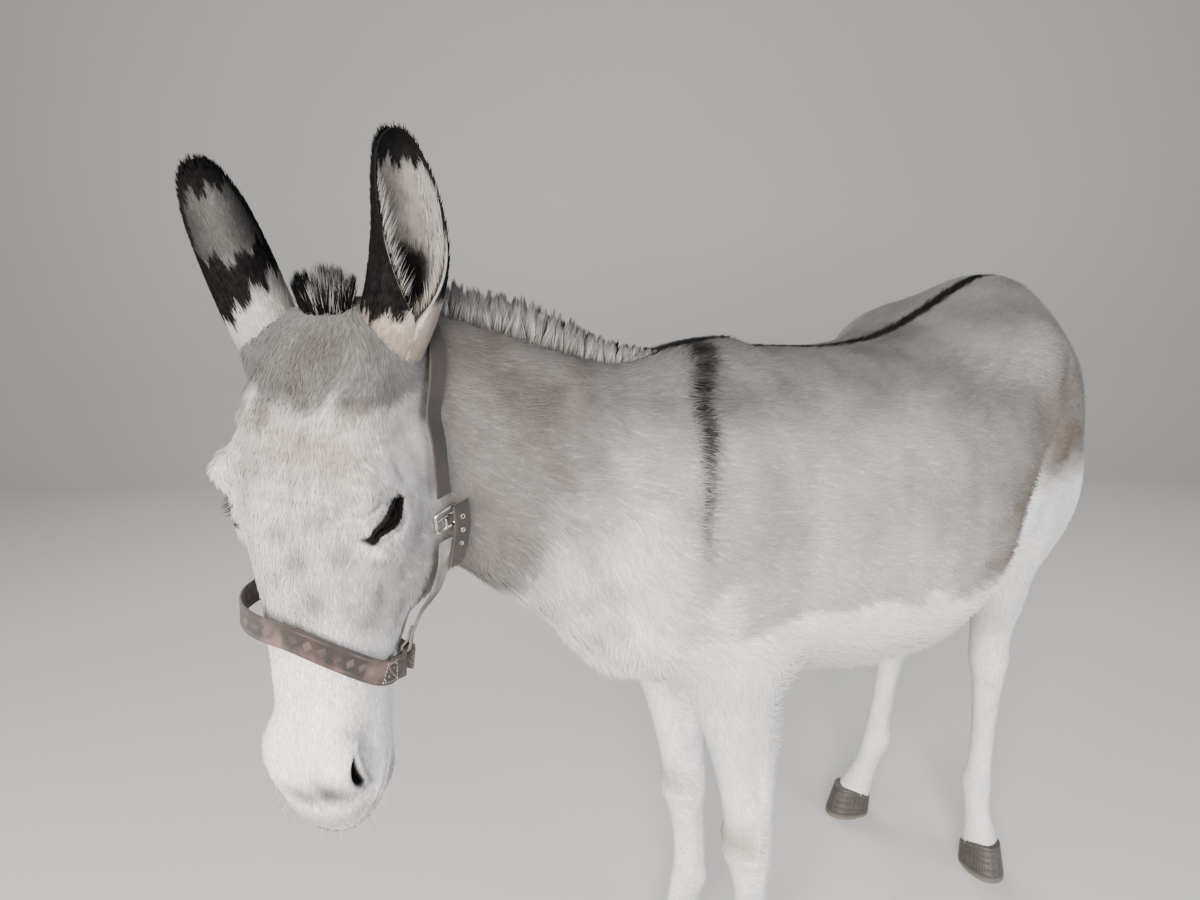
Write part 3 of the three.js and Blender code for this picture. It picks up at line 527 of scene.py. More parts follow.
# ---------------------------------------------------------------- the head's finer forms
def eye_axes(s):
    """The eye's centre and axes in the layout: along the slit, across it upwards, and outwards."""
    centre = on_head(EYE["forward"], s * EYE["side"], EYE["down"])
    look = centre + head_way(0.35, s, 0) * EYE["radius"]
    out = gradient(head_field, look[None])[0]
    out /= np.linalg.norm(out)
    slope = math.radians(EYE["slope"])
    along = head_way(-math.cos(slope), 0, math.sin(slope))
    along -= out * (along @ out)
    along /= np.linalg.norm(along)
    return centre, along, np.cross(out, along) * s, out


def in_axes(p, axes):
    """Places in the axes of a feature: along it, across it and outwards, and their distance from its middle."""
    centre, along, across, out = axes
    r = p - centre
    return r @ along, r @ across, r @ out, np.linalg.norm(r, axis=1)


def lid_edges(u):
    """How far the opening between the lids reaches up and down from its middle line."""
    open_share = np.clip(1 - (u / 21.5) ** 2, 0, 1)
    skew = 1 + 0.55 * u / 21.5
    return 4.4 * open_share * skew, 7.0 * open_share ** 0.8 * skew


def lid_gap(u, v):
    """Distance from the opening between the lids, below zero inside it."""
    high, low = lid_edges(u)
    return np.maximum(v - high, -v - low)


def shape_eye(p, s):
    """Draws the skin over the eyeball as two lids with a narrow opening, and folds beside them."""
    axes = eye_axes(s)
    u, v, w, _ = in_axes(p, axes)
    rho = np.hypot(u, v)
    near = (rho < 46) & (w > -10)
    R = EYE["radius"]
    high, low = lid_edges(u)
    thick = 2.2 + 1.6 * step(-2, 6, v)
    dome = np.sqrt(np.maximum((R + thick) ** 2 - np.minimum(rho, R + thick - 1) ** 2, 1))
    lid = dome + (w - dome) * step(11, 25, rho)
    edge = lid_gap(u, v)
    rim = np.exp(-((edge - 1.6) / 1.5) ** 2) * step(24, 21, np.abs(u))
    lid = lid + 0.9 * rim
    crease = lambda at, width: np.exp(-((v - at) / width) ** 2)
    lid = lid - 1.7 * crease(high + 6.5 - 0.006 * u * u, 1.3) * step(26, 17, np.abs(u))
    lid = lid - 1.5 * crease(high + 13 - 0.008 * u * u, 1.9) * step(30, 18, np.abs(u))
    lid = lid - 1.1 * crease(-low - 7 + 0.008 * u * u, 1.6) * step(26, 17, np.abs(u))
    lid = lid - 0.9 * crease(-low - 13 + 0.01 * u * u, 2.2) * step(30, 18, np.abs(u))
    behind = np.sqrt(np.maximum((R - 3.0) ** 2 - rho ** 2, 1))
    inside = step(0.9, -0.9, edge) * (np.abs(u) < 22)
    goal = lid + (behind - lid) * inside
    move = np.where(near, (goal - w) * step(44, 27, rho), 0)
    return p + move[:, None] * axes[3]


def nostril_axes(s):
    """The middle of a nostril on the skin, and its axes: down the opening, across it, and outwards."""
    centre = settle(skin_field, on_head(32, s * 55, 420)[None])[0]
    out = gradient(skin_field, centre[None])[0]
    out /= np.linalg.norm(out)
    along = head_way(-0.35, s * 0.25, -1)
    along -= out * (along @ out)
    along /= np.linalg.norm(along)
    return centre, along, np.cross(out, along) * s, out


def nostril_share(u, v):
    """Below zero inside the comma-shaped opening of a nostril, about a millimetre for each one outside."""
    bent = v - 0.018 * u * u - 1
    half = 4.4 * np.sqrt(np.clip(1 - (u / 16.5) ** 2, 0.0, 1)) * (1 + 0.25 * np.clip(u / 16, -1, 1))
    return np.maximum(np.abs(bent) - half, np.abs(u) - 16.5)


def shape_nostril(p, s):
    """Raises the rim of a nostril and sinks its opening."""
    axes = nostril_axes(s)
    u, v, w, _ = in_axes(p, axes)
    near = (np.hypot(u, v) < 40) & (w > -25)
    edge = nostril_share(u, v)
    rise = 3.4 * np.exp(-((edge - 4.0) / 4.2) ** 2)
    hole = 13.0 * step(1.2, -4.5, edge)
    return p + np.where(near, rise - hole, 0)[:, None] * axes[3]


def mouth_line(q):
    """Distance from the line between the lips, and how far back along it a place in the head's axes lies."""
    t = np.clip((-q[:, 2] - 428) / 70, 0, 1)  # 0 at the corner, 1 at the front of the lips
    line = -26 + 40 * t ** 1.4
    return q[:, 0] - line, t


def groove(x, width):
    """1 on a line and falling away to both sides of it."""
    return np.exp(-(x / width) ** 2)


def bump_at(q, centre, size):
    """A swelling of height 1 at a centre, with its own size along each axis."""
    return np.exp(-(((q - np.array(centre, float)) / np.array(size, float)) ** 2).sum(1))


def relief(p):
    """Smaller swellings and hollows of the head and body, in millimetres outwards."""
    q = in_head(p)
    down = -q[:, 2]
    rise = np.zeros(len(p))
    head = head_share(p)
    for s in (1, -1):
        rise += head * -5.5 * bump_at(q, (-22, s * 66, -108), (20, 22, 18))  # hollow over the eye
        rise += head * 3.0 * bump_at(q, (-4, s * 80, -215), (30, 20, 10))  # start of the cheek's crest
        rise += head * 2.2 * bump_at(q, (6, s * 62, -262), (14, 14, 42))
        rise += head * -2.5 * bump_at(q, (-8, s * 60, -330), (22, 18, 30))
        rise += head * -3.0 * bump_at(q, (-52, s * 46, -335), (18, 24, 38))  # behind the lips
        rise += head * 2.6 * bump_at(q, (-78, s * 66, -215), (34, 24, 46))
    rise += head * -3.0 * bump_at(q, (50, 0, -190), (14, 16, 60))  # forehead between the eyes
    brow = head * step(40, 75, down) * step(215, 150, down) * step(-10, 20, q[:, 0])
    rise += 1.5 * brow * waves(q * [0.6, 0.3, 1], 17, 9)  # the coat lies in ruffles across the forehead
    line, t = mouth_line(q)
    lips = head * step(418, 432, down)
    rise -= lips * 4.2 * groove(line, 2.4) * step(0.0, 0.12, t)
    rise += lips * 1.5 * groove(np.abs(line) - 7, 4.5)
    return rise


def body_relief(p):
    """Folds and hollows of the trunk and neck: shoulder, elbow, flank, ribs and the throat's groove."""
    x, y, z = p.T
    body = 1 - head_share(p)
    side = step(40, 120, np.abs(y))
    rise = np.zeros(len(p))
    rise -= 5 * groove(x + 62 + 0.16 * (z - 800), 26) * side * step(640, 720, z) * step(980, 900, z)
    rise -= 7 * bump_at(p * [1, 0, 1], (-500, 0, 860), (70, 1, 95)) * side  # hollow of the flank
    fold = np.interp(z, *FOLD)
    rise -= 9 * groove(x - fold + 34, 24) * side * step(640, 690, z) * step(960, 860, z)
    rise += 4 * groove(x - fold - 14, 22) * side * step(640, 690, z) * step(960, 860, z)
    ribs = np.sin((x + 0.25 * z) / 56 * 2 * np.pi)
    rise += 0.8 * ribs * side * step(-90, -160, x) * step(-440, -360, x) * step(620, 700, z) * step(960, 860, z)
    rise += 5 * bump_at(p * [1, 0, 1], (-560, 0, 1040), (46, 1, 34)) * side  # point of the hip
    rise -= 4 * bump_at(p * [1, 0, 1], (-700, 0, 1010), (30, 1, 80)) * side
    along_neck = step(120, 200, x)
    rise -= 5 * groove(z - (700 + 0.92 * (x - 150)), 24) * along_neck * step(40, 60, np.abs(y - neck_shift(x)))
    return rise * body


# knee and hock: rise, degrees round the leg and spread, height and spread
JOINT_FORMS = {
    True: ((2.2, 60, 40, 342, 13), (-1.8, 50, 50, 318, 6), (2.4, 172, 14, 350, 20), (1.6, 70, 30, 308, 9)),
    False: ((4.0, 178, 16, 452, 20), (-3.2, 128, 18, 468, 34), (1.8, 20, 30, 400, 14)),
}


def limb_relief(p):
    """Tendons, joints and the cannon bone of each leg."""
    rise = np.zeros(len(p))
    for name, (rows, s, place, turn, lean) in LIMBS.items():
        low = p[:, 2] < 600
        x, y, c, sn = limb_axes(rows, s, place, turn, lean)(p[:, 2])
        u = (p[:, 0] - x) * c + (p[:, 1] - y) * sn
        v = (p[:, 1] - y) * c - (p[:, 0] - x) * sn
        mine = low & (np.hypot(u, v) < 90) & (LIMB_FIELDS[name](p) < 8)
        z = p[:, 2]
        angle = np.degrees(np.arctan2(np.abs(v), u))  # 0 at the front, 180 at the back
        fore = rows is FORELEG
        cannon = step(160, 195, z) * (step(300, 250, z) if fore else step(370, 320, z))
        shape = -1.9 * groove(angle - 118, 15) * cannon + 0.9 * groove(angle - 158, 16) * cannon
        for rise_mm, turn, wide, level, tall in JOINT_FORMS[fore]:
            shape += rise_mm * groove(angle - turn, wide) * groove(z - level, tall)
        if fore:
            shape -= 2.5 * groove(angle - 75, 16) * step(380, 420, z) * step(560, 500, z)
        shape += 1.6 * groove(angle - 176, 22) * groove(z - 146, 10)
        shape -= 1.4 * groove(z - 118, 6) * step(60, 150, angle)
        shape += 1.5 * groove(z - 60, 5)
        rise += np.where(mine, shape, 0)
    return rise


def ear_surface(s, share, angle, radius):
    """A place on an ear's curled sheet."""
    own = EARS[s]
    forward, out, down = own["root"]
    root = on_head(forward, s * out, down)
    reach = HEAD_AXES @ (np.array(own["reach"], float) * [1, s, 1])
    along = reach / np.linalg.norm(reach)
    opening = math.radians(own["opening"])
    mouth = head_way(math.cos(opening), s * math.sin(opening), 0)
    mouth = mouth - along * (mouth @ along)
    mouth /= np.linalg.norm(mouth)
    across = np.cross(along, mouth)
    arch = np.sin(np.pi * share)
    centre = root + share[..., None] * reach
    centre = centre - (own["bow"] * arch)[..., None] * mouth + (own["sway"] * arch)[..., None] * across
    way = -np.cos(angle)[..., None] * mouth + np.sin(angle)[..., None] * across
    return centre + own["girth"] * radius[..., None] * way


def closed_rings(rings, sides, count):
    """Triangles of a run of rings whose two ends close to the last two of count points."""
    ring, last = np.arange(sides), (rings - 1) * sides
    following = (ring + 1) % sides
    ends = [np.stack([following, ring, np.full(sides, count - 2)], 1),
            np.stack([last + ring, last + following, np.full(sides, count - 1)], 1)]
    return np.concatenate([as_triangles(ring_faces(rings, sides).tolist()), *ends])


EAR_COAT = {"outside": 1.6, "inside": 0.9}  # depth of the hair on the two faces
EAR_SHARES = 1 - (1 - np.linspace(0, 1, 66)) ** 1.15  # where its rings stand, closer towards the tip
EAR_ACROSS = 26  # places across each face
EAR_EDGE = 3  # places round each edge


def ear_grid(s):
    """Rings of an ear: the outer face, the rounded edge and the inner face, from the root to the tip."""
    outer, inner, curl = (profile(EAR_ROWS, i) for i in (1, 2, 3))
    rings = []
    for share in EAR_SHARES:
        half = math.radians(float(curl(share)))
        ro, ri = float(outer(share)) - EAR_COAT["outside"], float(inner(share)) + EAR_COAT["inside"]
        ri = min(ri, ro - 1.8)
        middle, wall = (ro + ri) / 2, (ro - ri) / 2
        a = np.linspace(half, -half, EAR_ACROSS)
        ridges = 0.7 * np.cos(a / half * 9) * math.sin(math.pi * share) ** 0.5
        # the two edges are rolled over
        turn = np.linspace(0, np.pi, EAR_EDGE + 2)[1:-1]
        edge_a = -half - np.sin(turn) * wall / middle
        edge_r = middle + np.cos(turn) * wall
        angles = np.concatenate([a, edge_a, a[::-1], -edge_a])
        radii = np.concatenate([np.full(EAR_ACROSS, ro), edge_r, ri + ridges[::-1], edge_r[::-1]])
        rings.append(ear_surface(s, np.full(angles.shape, share), angles, radii))
    return np.array(rings)


def ring_faces(rings, sides):
    """Quads between rings of points, closed round."""
    i, j = np.meshgrid(np.arange(rings - 1), np.arange(sides), indexing="ij")
    a, b = i * sides + j, i * sides + (j + 1) % sides
    return np.stack([a, b, b + sides, a + sides], -1).reshape(-1, 4)


def ear_skin(s):
    """Points and triangles of an ear, closed at the root and the tip."""
    rings = ear_grid(s)
    points = np.concatenate([rings.reshape(-1, 3), rings[:1].mean(1), rings[-1:].mean(1)])
    return points, outward(points, closed_rings(*rings.shape[:2], len(points)))


def build_skin_points():
    """Points and triangles of the whole skin, with finer faces on the head, feet and features."""
    low, high = np.array([-880.0, -260.0, 8.0]), np.array([720.0, 260.0, 1180.0])
    points, quads = surface_net(skin_field, low, high, 9.0)
    points = relax(points, edges_of(quads), 2)
    points = settle(skin_field, points, 2)
    centre = points[quads].mean(1)
    chosen = (head_share(centre) > 0.3) | (centre[:, 2] < 520)
    points, faces = refine(points, quads.tolist(), chosen)
    marks = [eye_axes(s)[0] for s in (1, -1)] + [nostril_axes(s)[0] for s in (1, -1)]

    def near_marks(faces, points, reach, mouth):
        centre = np.array([points[f].mean(0) for f in faces])
        found = np.zeros(len(faces), bool)
        for mark in marks:
            found |= np.linalg.norm(centre - mark, axis=1) < reach
        q = in_head(centre)
        line = mouth_line(q)[0]
        found |= (np.abs(line) < mouth) & (-q[:, 2] > 420) & (head_share(centre) > 0.5)
        return found
    points, faces = refine(points, faces, near_marks(faces, points, 44, 16))
    points, faces = refine(points, faces, near_marks(faces, points, 27, 5))
    tris = as_triangles(faces)
    edges = edges_of(tris)
    points = relax(points, edges, 2)
    points = settle(skin_field, points, 3, 3.0)
    return points, tris


def sculpt(points, tris):
    """Adds the smaller forms to the plain skin."""
    n = point_normals(points, tris)
    points = points + n * (relief(points) + body_relief(points) + limb_relief(points))[:, None]
    for s in (1, -1):
        points = shape_eye(points, s)
        points = shape_nostril(points, s)
    return points


# ---------------------------------------------------------------- finishes
def linear(hex_code):
    """An sRGB hex colour as linear red, green, blue, alpha."""
    value = hex_code.lstrip("#")
    parts = [int(value[i:i + 2], 16) / 255 for i in (0, 2, 4)]
    return [c / 12.92 if c <= 0.04045 else ((c + 0.055) / 1.055) ** 2.4 for c in parts] + [1.0]


# the settings of the nodes that mix and scale
SMOOTH = {"interpolation_type": "SMOOTHSTEP"}
BLEND = {"data_type": "RGBA"}
SHADE = {"data_type": "RGBA", "blend_type": "MULTIPLY"}


def per(size_mm):
    """The scale of a noise whose blotches are about size_mm across."""
    return 1 / (size_mm * MM * 2)


def towards(a, b, share):
    """The colour that lies a share of the way from one linear colour to another."""
    return [p + share * (q - p) for p, q in zip(a, b)]


class Finish:
    """A material under construction: its node tree and its surface shader."""

    def __init__(self, name, roughness, metallic=0.0, **sockets):
        self.material = bpy.data.materials.new(name)
        self.material.use_nodes = True
        self.nodes = self.material.node_tree.nodes
        self.links = self.material.node_tree.links
        self.surface = self.nodes["Principled BSDF"]
        self.put(self.surface, Roughness=roughness, Metallic=metallic, **sockets)

    def put(self, node, **inputs):
        """Sets or links inputs, each given by its name, or by i and its number; a text is a hex colour."""
        for key, value in inputs.items():
            numbered = key[0] == "i" and key[1:].isdigit()
            socket = node.inputs[int(key[1:]) if numbered else key.replace("_", " ")]
            if isinstance(value, bpy.types.NodeSocket):
                self.links.new(value, socket)
            elif socket.type == "RGBA":
                socket.default_value = linear(value) if isinstance(value, str) else (*value[:3], 1.0)
            else:
                socket.default_value = value

    def add(self, kind, output=0, settings=None, **inputs):
        """Adds a node with its settings and inputs, and returns one of its outputs."""
        node = self.nodes.new("ShaderNode" + kind)
        for key, value in (settings or {}).items():
            setattr(node, key, value)
        self.put(node, **inputs)
        return node.outputs[output]


def backdrop_finish(colour):
    """Pale matt paper, faintly clouded and grained: no gloss, so that only the animal's shadow marks it."""
    f = Finish("Studio_Paper", 0.95, Specular_IOR_Level=0.2)
    place = f.add("TexCoord", "Object")
    cloud = f.add("TexNoise", Vector=place, Scale=per(700), Detail=2)
    share = f.add("MapRange", 0, SMOOTH, i0=cloud, i1=0.3, i2=0.7, i4=0.05)
    grain = f.add("TexNoise", Vector=place, Scale=per(2.5), Detail=3)
    f.put(f.surface, Base_Color=f.add("Mix", 2, BLEND, i0=share, i6=colour, i7="#a9a59f"),
          Normal=f.add("Bump", Height=grain, Distance=0.06 * MM, Strength=0.3))
    return f.material


# ---------------------------------------------------------------- stage
VIEW_WAY = (-0.5516, -0.8342)  # the way the viewer looks, over the ground
VIEW_FROM = (0.7309, 0.8678, 1.158)  # metres from the ground under the withers
FLOOR = {"near": -9.0, "bend": 3.2, "curve": 1.6, "top": 6.0, "side": 12}  # metres along and across that way
# the lamps: place, width of the soft box, power, colour
LAMPS = {
    "Key": ((2.5, 2.3, 1.8), 2.0, None, "#fffaf3"), "Fill": ((-1.2, 3.4, 1.4), 2.6, 95, "#f1f5ff"),
    "Rim": ((-1.5, -2.6, 2.6), 2.0, 70, "#ffffff"), "Front": ((3.2, -0.6, 1.2), 2.0, 50, "#f4f7ff"),
}
LAMPS_AIM = Vector((0.1, 0, 0.7))


def build_stage(settings):
    """The pale floor, the soft lights and the camera."""
    scene = bpy.context.scene
    mesh = bpy.data.meshes.new("Studio_Floor")
    bm = bmesh.new()
    bend, curve = FLOOR["bend"], FLOOR["curve"]
    profile_line = [(FLOOR["near"], 0.0), (bend, 0.0)]
    profile_line += [(bend + curve * math.sin(a), curve * (1 - math.cos(a)))
                     for a in np.linspace(0.1, math.pi / 2, 14)]
    profile_line += [(bend + curve, FLOOR["top"])]
    way = Vector((*VIEW_WAY, 0))
    side = Vector((-way.y, way.x, 0)) * FLOOR["side"]
    rows = [[bm.verts.new(way * d + side * s + Vector((0, 0, h))) for s in (-1, 1)] for d, h in profile_line]
    for a, b in zip(rows, rows[1:]):
        bm.faces.new([a[0], a[1], b[1], b[0]]).smooth = True
    bmesh.ops.recalc_face_normals(bm, faces=bm.faces)
    bm.to_mesh(mesh)
    bm.free()
    floor = bpy.data.objects.new("Studio_Floor", mesh)
    floor.data.materials.append(backdrop_finish(settings.paper))
    bpy.context.collection.objects.link(floor)

    camera = bpy.data.cameras.new("Camera")
    camera.lens = settings.lens
    camera.sensor_width = 36.0
    viewer = bpy.data.objects.new("Camera", camera)
    pitch = settings.pitch
    look = Vector((way.x * math.cos(pitch), way.y * math.cos(pitch), -math.sin(pitch)))
    turn = look.to_track_quat("-Z", "Y") @ Matrix.Rotation(settings.roll, 3, "Z").to_quaternion()
    viewer.location = Vector(VIEW_FROM) + Vector(WITHERS * MM)
    viewer.rotation_euler = turn.to_euler()
    bpy.context.collection.objects.link(viewer)
    scene.camera = viewer

    for name, (place, width, power, shade) in LAMPS.items():
        lamp = bpy.data.lights.new(name, "AREA")
        lamp.energy, lamp.size, lamp.color = power or settings.key, width, linear(shade)[:3]
        stand = bpy.data.objects.new(name, lamp)
        stand.location = place
        stand.rotation_euler = (LAMPS_AIM - Vector(place)).to_track_quat("-Z", "Y").to_euler()
        bpy.context.collection.objects.link(stand)
    world = bpy.data.worlds.new("Studio")
    world.use_nodes = True
    world.node_tree.nodes["Background"].inputs["Color"].default_value = linear("#e9ecf0")
    world.node_tree.nodes["Background"].inputs["Strength"].default_value = 0.34
    scene.world = world


# ---------------------------------------------------------------- markings, shared by skin and coat
def waves(p, size, seed):
    """Soft irregular waves between -1 and 1 about size millimetres long, from sums of turned sines."""
    turn = np.random.default_rng(seed)
    total = np.zeros(len(p))
    for octave in (1.0, 2.1, 4.3):
        for _ in range(4):
            way = turn.normal(size=3)
            way *= 2 * np.pi * octave / (size * np.linalg.norm(way))
            total += np.sin(p @ way + turn.uniform(0, 6.3)) / octave
    return total / 3.2


def trunk_marks(p):
    """The shares on trunk, neck and legs: pale below, taupe above, with a dark cross and back stripe."""
    x, y, z = p.T
    ragged, fine = waves(p, 90, 3), waves(p, 28, 4)
    cloud, patch = waves(p, 60, 5), np.clip(waves(p, 40, 6) + 0.1, 0, 1)
    # white belly and legs, a mottled white breast, a pale grey side, and a taupe back and neck
    belly = step(714, 690, z + 12 * ragged + 6 * fine)
    breast = step(60, 160, x) * step(330, 250, x + 0.35 * (z - 880) + 14 * ragged)
    breast = breast * (0.30 + 0.42 * step(900, 820, z + 16 * ragged) + 0.16 * cloud) * step(1010, 930, z)
    low_breast = step(0, 90, x) * step(800, 700, z + 30 * ragged)
    side = step(1030, 900, z + 10 * ragged) * step(300, 200, x)
    flank = side * (0.30 - 0.16 * step(-220, -420, x) + 0.04 * cloud + 0.12 * step(840, 740, z))
    # behind a brown fold the thigh and buttock are white
    fold = np.interp(z, *FOLD)
    past = fold - x + 5 * ragged + 3 * fine
    outer = step(50, 90, np.abs(y) + 60 * step(-560, -640, x))
    thigh = step(-2, 8, past) * outer * step(858, 786, z + 22 * ragged + 10 * fine)
    # the middle term is painted light: it lifts the shade on the lower front of the neck, under the jaw
    upper = 0.08 * step(-380, -480, x) * step(930, 1010, z) + 0.10 * step(930, 890, z) * step(300, 360, x) + 0.05
    pale = np.maximum.reduce([belly, breast, low_breast, thigh, flank, upper, step(640, 590, z)])
    # cross on the withers, stripe along the back and down the dock
    middle = np.interp(z, [740, 780, 859, 917, 993, 1052], [103, 102, 98, 90, 68, 14])
    half = np.interp(z, [740, 800, 859, 917, 993, 1050], [1.5, 3.5, 7, 11, 16, 24])
    cross = step(half + 6, half - 5, np.abs(x - middle) + 4 * fine) * step(735, 850, z) * (x < 200) * (x > -80)
    spine = 0.85 * step(17, 9, np.abs(y) + 3 * fine) * (z > 985) * (x < 120) * (x > -735)
    dock = 0.8 * step(16, 8, np.abs(y) + 3 * fine) * (x < -740) * (z > 700)
    rim = step(-100, -8, past) * step(6, -2, past) * outer * step(690, 740, z) * step(1000, 920, z)
    rim = np.maximum(rim, 0.8 * step(-470, -600, x) * step(790, 830, z) * step(1060, 940, z))
    dark = np.maximum.reduce([cross * (0.70 + 0.14 * fine), spine, dock, 0.4 * rim])
    knee = bump_at(p * [1, 0, 1], (-4, 0, 345), (34, 1, 26)) * (x > -60) * (x < 120)
    neck = step(150, 260, x) * step(800, 860, z)
    warm = np.maximum.reduce([0.6 * rim, 0.7 * knee, 0.2 * neck])
    smoky = 0.16 * np.clip(cloud, 0, 1) * step(690, 740, z) * step(260, 160, x)
    smoky += 0.5 * step(60, 160, x) * step(940, 820, z) * step(640, 700, z) * step(330, 260, x) * patch
    smoky += 0.14 * step(640, 590, z) * np.clip(waves(p, 34, 8), 0, 1)
    return np.stack([pale * (1 - 0.4 * rim * (past < 4)), dark, warm, smoky], 1)


# grey spots on the face: middle and size in the head's axes
FACE_SPOTS = (
    ((50, 12, -220), (20, 15, 11)), ((44, 25, -256), (20, 11, 13)), ((10, 58, -282), (22, 14, 14)),
    ((46, -6, -196), (20, 13, 9)), ((34, -40, -150), (22, 16, 30)), ((34, 52, -214), (18, 9, 13)),
)


def head_marks(p):
    """The shares on the head: white nose, mottled face, cream forehead, grey crown and a dusky upper lip."""
    q = in_head(p)
    ahead, down = q[:, 0], -q[:, 2]
    ragged = waves(p, 90, 3)
    blotch, patch = np.clip(waves(p, 42, 7), 0, 1), np.clip(waves(p, 30, 18) - 0.12, 0, 1)
    crown = step(108, 62, down + 20 * waves(p, 34, 9))
    nose = step(262, 325, down + 12 * ragged)
    cheek = step(-2, -48, ahead) * step(110, 190, down) * step(345, 290, down)
    brows = bump_at(q * [1, 0, 1], (8, 0, -138), (34, 1, 26)) * step(52, 66, np.abs(q[:, 1]))
    pale = 0.54 - 0.50 * crown + 0.46 * nose + 0.46 * brows - 0.1 * cheek - 0.16 * blotch * (1 - nose)
    smoke = 0.34 * crown + 0.66 * patch * step(90, 150, down) * (1 - nose) + 0.3 * cheek * (0.6 + blotch)
    for spot, size in FACE_SPOTS:
        smoke = np.maximum(smoke, 0.78 * bump_at(q, spot, size))
    lip = np.maximum(bump_at(q, (44, 30, -436), (28, 24, 14)), 0.8 * bump_at(q, (44, 4, -444), (26, 30, 11)))
    lips = 0.6 * step(446, 470, down)
    folds = 0.4 * (bump_at(q, (20, 46, -388), (20, 14, 22)) + bump_at(q, (20, -46, -388), (20, 14, 22)))
    chin = 0.5 * step(-8, -30, ahead) * step(420, 445, down)
    smoky = np.maximum.reduce([smoke, 0.95 * lip, lips, folds, chin])
    dusk = 0.42 * bump_at(q, (45, 4, -68), (24, 16, 8)) + 0.2 * bump_at(q, (44, -16, -54), (20, 14, 8))
    dark = np.clip(dusk + 0.42 * lip, 0, 1)
    cream = 0.42 * step(205, 120, down + 26 * ragged) * step(70, 96, down) * step(-30, 20, ahead)
    cream = cream * (0.75 + 0.5 * waves(q * [0.5, 0.3, 1], 30, 8))
    return np.stack([np.clip(pale, 0, 1), dark, cream, smoky], 1)


def markings(p):
    """The shares of pale, dark, warm and smoky hair at each place, each between 0 and 1; the dark share also holds
    painted shade over each eye.
    """
    q = in_head(p)
    head, down = head_share(p), -q[:, 2]
    body, face_ = trunk_marks(p), head_marks(p)
    # the face's own colours stop behind the headpiece
    behind = -66 - 0.3 * np.maximum(down - 150, 0) + 5 * waves(p, 28, 4)
    face_share = head * step(behind - 14, behind + 6, q[:, 0])
    marks = body + (face_ - body) * face_share[:, None]
    dark, smoky = marks[:, 1], marks[:, 3]
    for s in (1, -1):
        u, v, w, _ = in_axes(p, eye_axes(s))
        near = (np.hypot(u, v) < 40) & (w > 0)
        edge = lid_gap(u, v)
        line = step(7.5, 3.0, edge) * step(30, 23, np.abs(u + 3))
        # painted shade in a band over the upper lid, along its crease
        shade = 0.3 * np.exp(-((v - 12) / 6) ** 2) * step(28, 10, np.abs(u))
        dark = np.where(near, np.maximum.reduce([dark, line, shade]), dark)
        u, v, w, _ = in_axes(p, nostril_axes(s))
        near = (np.hypot(u, v) < 40) & (w > -25)
        edge = nostril_share(u, v)
        dark = np.where(near, np.maximum(dark, step(2.6, -2.0, edge)), dark)
        smoky = np.where(near, np.maximum(smoky, 0.7 * step(13, 1, edge)), smoky)
    line, t = mouth_line(q)
    dark = np.maximum(dark, 0.8 * head * groove(line, 1.8) * step(418, 432, down) * step(0, 0.12, t))
    return np.clip(np.stack([marks[:, 0], dark, marks[:, 2], smoky], 1), 0, 1)


def ear_markings(s, share, angle, half, inner):
    """The same four shares on an ear: black tip, rim and bar outside, with a grey patch deepened by painted shade;
    white hair greyed by painted shade and a hollow darkened by painted shade inside.
    """
    edge = np.abs(angle) / half
    wave = 0.03 * np.sin(angle * 9) + 0.02 * np.sin(angle * 23 + 1)
    tip = step(0.77, 0.85, share + wave)
    rim = step(0.50, 0.72, edge) * step(0.24, 0.34, share)
    foot = 0.30 + 0.10 * s * np.sin(angle)
    bar = step(foot - 0.03, foot + 0.03, share + wave) * step(0.66, 0.58, share + 0.13 * (1 - edge) + wave)
    outside = np.maximum.reduce([tip, rim, bar])
    # a grey patch across the back of the ear, darkened further as painted shade
    patch = step(0.46, 0.52, share) * (0.48 + 0.36 * edge)
    outside = np.maximum(outside, patch)
    # painted shade: the hollow low in the opening is darkened
    hollow = step(0.66, 0.30, edge) * step(0.54, 0.42, share) * step(0.2, 0.26, share)
    mottle = np.clip(np.sin(share * 41 + angle * 3) * np.sin(angle * 7 + 2), 0, 1) * step(0.4, 0.5, share)
    top = step(0.80, 0.88, share + wave)
    side = step(0.80, 0.95, edge) * step(0.50, 0.66, share)
    inside = np.maximum.reduce([top, side, hollow, 0.3 * mottle])
    dark = np.where(inner, inside, outside)
    foot_pale = step(0.34, 0.26, share)
    # inside, painted shade: the white hair gets a low pale share here and a smoky share below
    pale = np.where(inner, 0.14, 0.1 + 0.3 * foot_pale)
    warm = np.where(inner, 0.24 + 0.3 * step(0.36, 0.2, share), (0.5 + 0.32 * s) * step(0.36, 0.2, share))
    smoky = np.where(inner, 0.3 + 0.3 * mottle, 0.5 * step(0.30, 0.40, share) + 0.1)
    return np.clip(np.stack([pale, dark, warm, smoky], -1), 0, 1)


def carry(piece, marks, **values):
    """Stores the four shares and other values on a mesh's points."""
    layer = piece.data.attributes.new("Marks", "FLOAT_COLOR", "POINT")
    layer.data.foreach_set("color", marks.astype(np.float32).ravel())
    for name, numbers in values.items():
        store(piece, name, numbers)


